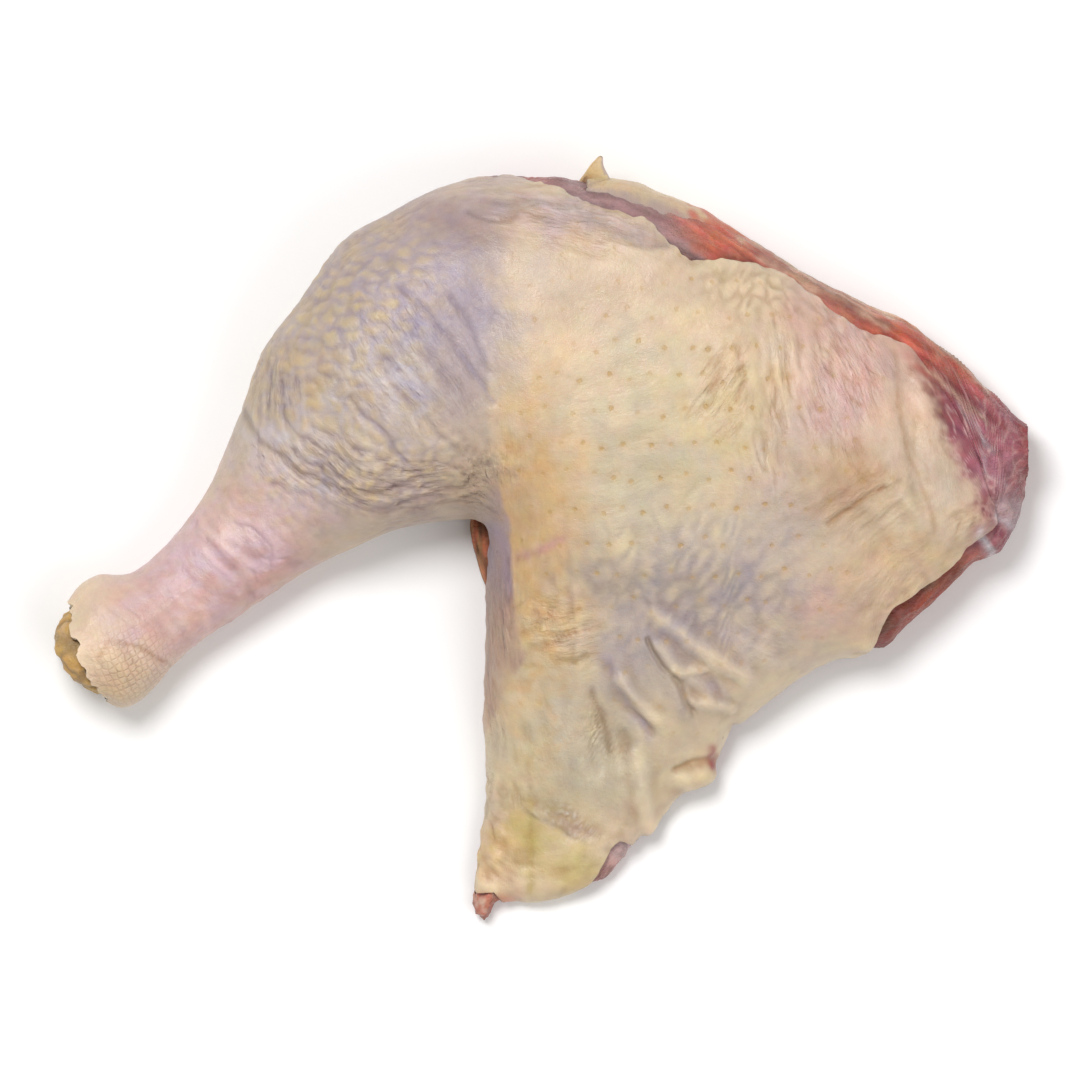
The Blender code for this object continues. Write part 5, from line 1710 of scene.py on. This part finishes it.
def skin_material():
    """Moist skin with fine wrinkles and grain, painted shade in the wrinkles' thin lines and dips, feather
    pits, and small scales over the hock.
    """
    colours = bpy.context.scene.turkey_leg_colours
    looks, tree, shader = start_material("raw skin", *SKIN_LOOKS)
    tint = field(tree, "tint", "Color")
    colour = use_group(tree, "mottled colour", Color=tint, Scale=420.0, Amount=0.16)["Color"]

    place, fine_share = field(tree, "fine_place", "Vector"), field(tree, "fine_share")
    ripple, fine = noise_value(tree, place, 0.34, 2.0, 0.5), noise_value(tree, place, 0.9, 3.0, 0.6)
    broken = ((noise_value(tree, place, 0.2, 1.0) - 0.4) * 6.0).clamped()
    thin = (1.0 - abs(ripple - 0.5) * 9.0).clamped() * broken * fine_share
    dip = ((0.47 - fine) * 5.0).clamped() * 0.5 * fine_share
    # Painted shade: the thin wrinkle lines and the dips of the fine wrinkles are multiplied towards the
    # crease colours, partly their own darker colour.
    crease = mixed_colour(tree, field(tree, "on_thigh"), (*DRUMSTICK_CREASE, 1), (*THIGH_CREASE, 1))
    colour = mixed_colour(tree, thin.math("MAXIMUM", thin, dip) * 0.55, colour, crease, "MULTIPLY")

    offset, pit_share = field(tree, "pit_offset", "Vector"), field(tree, "pit_share")
    pits = use_group(tree, "feather pits", Offset=offset, Share=pit_share, Radius=PIT_DOT)
    colour = mixed_colour(tree, pits["Mask"] * 0.68, colour, (*colours.pit, 1))

    scales = outputs_of(add_node(
        tree, "ShaderNodeTexVoronoi", {"feature": "DISTANCE_TO_EDGE", "voronoi_dimensions": "2D"},
        Vector=field(tree, "chart", "Vector"), Scale=0.47, Randomness=0.45,
    ))["Distance"]
    groove = (1.0 - (scales * 5.0).clamped()) * field(tree, "scaly")
    mixed_colour(tree, groove * 0.25, colour, (*colours.rust, 1)).into(shader.inputs["Base Color"])

    add_grain(tree, shader, 700.0, 0.5, 0.00025)
    add_bump(tree, shader, (fine - 0.5) * fine_share, 0.0007)
    add_bump(tree, shader, (ripple - 0.5) * fine_share, 0.0012)
    add_bump(tree, shader, thin * -1.0, 0.00008)
    add_bump(tree, shader, groove * -1.0, 0.0002)
    add_bump(tree, shader, pits["Height"], 0.0002)
    return looks


def flesh_material(name):
    """Wet raw meat, soft glossy fat or half dry gristle."""
    if name in bpy.data.materials:
        return bpy.data.materials[name]
    *film, (scale, amount), grain, strand_depth = LOOKS[name]
    looks, tree, shader = start_material(name, *film)
    tint = field(tree, "tint", "Color")
    colour = use_group(tree, "mottled colour", Color=tint, Scale=scale, Amount=amount)["Color"]
    colour.into(shader.inputs["Base Color"])
    if strand_depth:
        turn, stretch = (0, 0, math.radians(30)), (1.0, 6.0, 6.0)
        along = add_node(tree, "ShaderNodeMapping", Vector=object_places(tree), Rotation=turn, Scale=stretch)
        add_bump(tree, shader, noise_value(tree, Output(along.outputs[0]), 180.0, 4.0), strand_depth)
    add_grain(tree, shader, *grain)
    return looks


# ---------------------------------------------------------------- stage

FRAME_WIDTH = 0.3456
CAMERA_HEIGHT = 4.0
SENSOR_WIDTH = 36.0
FOCUS_LEVEL = 0.02
FLOOR_SIDE = 3.0
FLOOR_COLOUR = (0.97, 0.97, 0.97, 1)
ROOM_COLOUR = (1.0, 0.99, 0.97, 1)
LIGHTS = [
    ("key_light", (-0.4, 0.6, 1.6), 0.7, 20.0),
    ("fill_light", (0.8, -0.6, 1.3), 1.2, 7.5),
]
SKY_STRENGTH = 0.40


def build_stage():
    """A plain pale floor, soft lights, and the camera straight above."""
    mesh = bpy.data.meshes.new("floor")
    half = FLOOR_SIDE / 2
    corners = [(-half, -half, 0), (half, -half, 0), (half, half, 0), (-half, half, 0)]
    mesh.from_pydata(corners, [], [(0, 1, 2, 3)])
    floor = bpy.data.objects.new("floor", mesh)
    looks = bpy.data.materials.new("pale floor")
    looks.use_nodes = True
    shader = looks.node_tree.nodes["Principled BSDF"]
    shader.inputs["Roughness"].default_value = 0.7
    shader.inputs["Specular IOR Level"].default_value = 0.2
    colour = use_group(looks.node_tree, "mottled colour", Color=FLOOR_COLOUR, Scale=4.0, Amount=0.02)["Color"]
    colour.into(shader.inputs["Base Color"])
    mesh.materials.append(looks)
    bpy.context.scene.collection.objects.link(floor)
    floor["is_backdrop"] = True
    for name, place, size, power in LIGHTS:
        lamp = bpy.data.lights.new(name, "AREA")
        lamp.shape = "DISK"
        lamp.size = size
        lamp.energy = power
        holder = bpy.data.objects.new(name, lamp)
        holder.location = place
        aim = np.array((0.0, 0.0, 0.0)) - place
        holder.rotation_euler = (
            math.atan2(math.hypot(aim[0], aim[1]), -aim[2]), 0, math.atan2(aim[1], aim[0]) - math.pi / 2
        )
        bpy.context.scene.collection.objects.link(holder)
    world = bpy.data.worlds.new("soft room")
    world.use_nodes = True
    world.node_tree.nodes["Background"].inputs["Color"].default_value = ROOM_COLOUR
    world.node_tree.nodes["Background"].inputs["Strength"].default_value = SKY_STRENGTH
    bpy.context.scene.world = world
    lens = bpy.data.cameras.new("camera")
    lens.sensor_width = SENSOR_WIDTH
    lens.lens = SENSOR_WIDTH * (CAMERA_HEIGHT - FOCUS_LEVEL) / FRAME_WIDTH
    lens.clip_end = 20
    camera = bpy.data.objects.new("camera", lens)
    camera.location = (-MIDDLE[0] * MM, -MIDDLE[1] * MM, CAMERA_HEIGHT)
    bpy.context.scene.collection.objects.link(camera)
    bpy.context.scene.camera = camera
    bpy.context.scene.view_settings.view_transform = "Standard"


def place_piece(piece, slot_name, *nodes):
    """Let a piece ride on the leg and stand for its nodes."""
    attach(piece, "root")
    if nodes:
        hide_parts(*nodes)


class TURKEYLEG_OT_skin(bpy.types.Operator):
    """Add the wrinkled skin with its feather pits"""

    bl_idname = "turkey_leg.skin"
    bl_label = "Add skin"

    def execute(self, context):
        sleeve, sheet = build_skin()
        place_piece(sleeve, "skin")
        place_piece(sheet, "skin", "skin")
        return {"FINISHED"}


class TURKEYLEG_OT_meat(bpy.types.Operator):
    """Add the meat and its tongue in the bend of the knee"""

    bl_idname = "turkey_leg.meat"
    bl_label = "Add meat"

    def execute(self, context):
        place_piece(build_meat(), "meat", "meat")
        place_piece(build_tongue(), "meat")
        return {"FINISHED"}


class TURKEYLEG_OT_joint(bpy.types.Operator):
    """Add the gristly joint end of the shank bone"""

    bl_idname = "turkey_leg.joint"
    bl_label = "Add hock joint"

    def execute(self, context):
        place_piece(build_joint(), "hock_joint", "hock_joint")
        return {"FINISHED"}


class TURKEYLEG_OT_fat(bpy.types.Operator):
    """Add the strip of fat along the cut top edge"""

    bl_idname = "turkey_leg.fat"
    bl_label = "Add fat strip"

    def execute(self, context):
        place_piece(build_fat(), "fat_strip", "fat_strip")
        return {"FINISHED"}


class TURKEYLEG_OT_stage(bpy.types.Operator):
    """Add the floor, the lights and the camera"""

    bl_idname = "turkey_leg.stage"
    bl_label = "Add stage"

    def execute(self, context):
        build_stage()
        return {"FINISHED"}


OPERATORS = (TURKEYLEG_OT_skin, TURKEYLEG_OT_meat, TURKEYLEG_OT_joint, TURKEYLEG_OT_fat, TURKEYLEG_OT_stage)


class TURKEYLEG_PT_panel(bpy.types.Panel):
    """The leg's sizes, colours and pieces"""

    bl_label = "Turkey leg"
    bl_idname = "TURKEYLEG_PT_panel"
    bl_space_type = "VIEW_3D"
    bl_region_type = "UI"
    bl_category = "Turkey leg"

    def draw(self, context):
        for group in (context.scene.turkey_leg_sizes, context.scene.turkey_leg_colours):
            box = self.layout.box()
            for name in group.__annotations__:
                box.prop(group, name)
        for operator in OPERATORS:
            self.layout.operator(operator.bl_idname)


CLASSES = (TurkeyLegSizes, TurkeyLegColours, *OPERATORS, TURKEYLEG_PT_panel)


def register():
    for each in CLASSES:
        bpy.utils.register_class(each)
    bpy.types.Scene.turkey_leg_sizes = PointerProperty(type=TurkeyLegSizes)
    bpy.types.Scene.turkey_leg_colours = PointerProperty(type=TurkeyLegColours)


def unregister():
    del bpy.types.Scene.turkey_leg_sizes
    del bpy.types.Scene.turkey_leg_colours
    for each in reversed(CLASSES):
        bpy.utils.unregister_class(each)


def main():
    register()
    bpy.ops.turkey_leg.skin()
    bpy.ops.turkey_leg.meat()
    bpy.ops.turkey_leg.joint()
    bpy.ops.turkey_leg.fat()
    bpy.ops.turkey_leg.stage()
    boxes = {"cad": CAD_BOX, "visual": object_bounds()}
    {name: [list(corner) for corner in box] for name, box in boxes.items()}


if __name__ == "__main__":
    main()
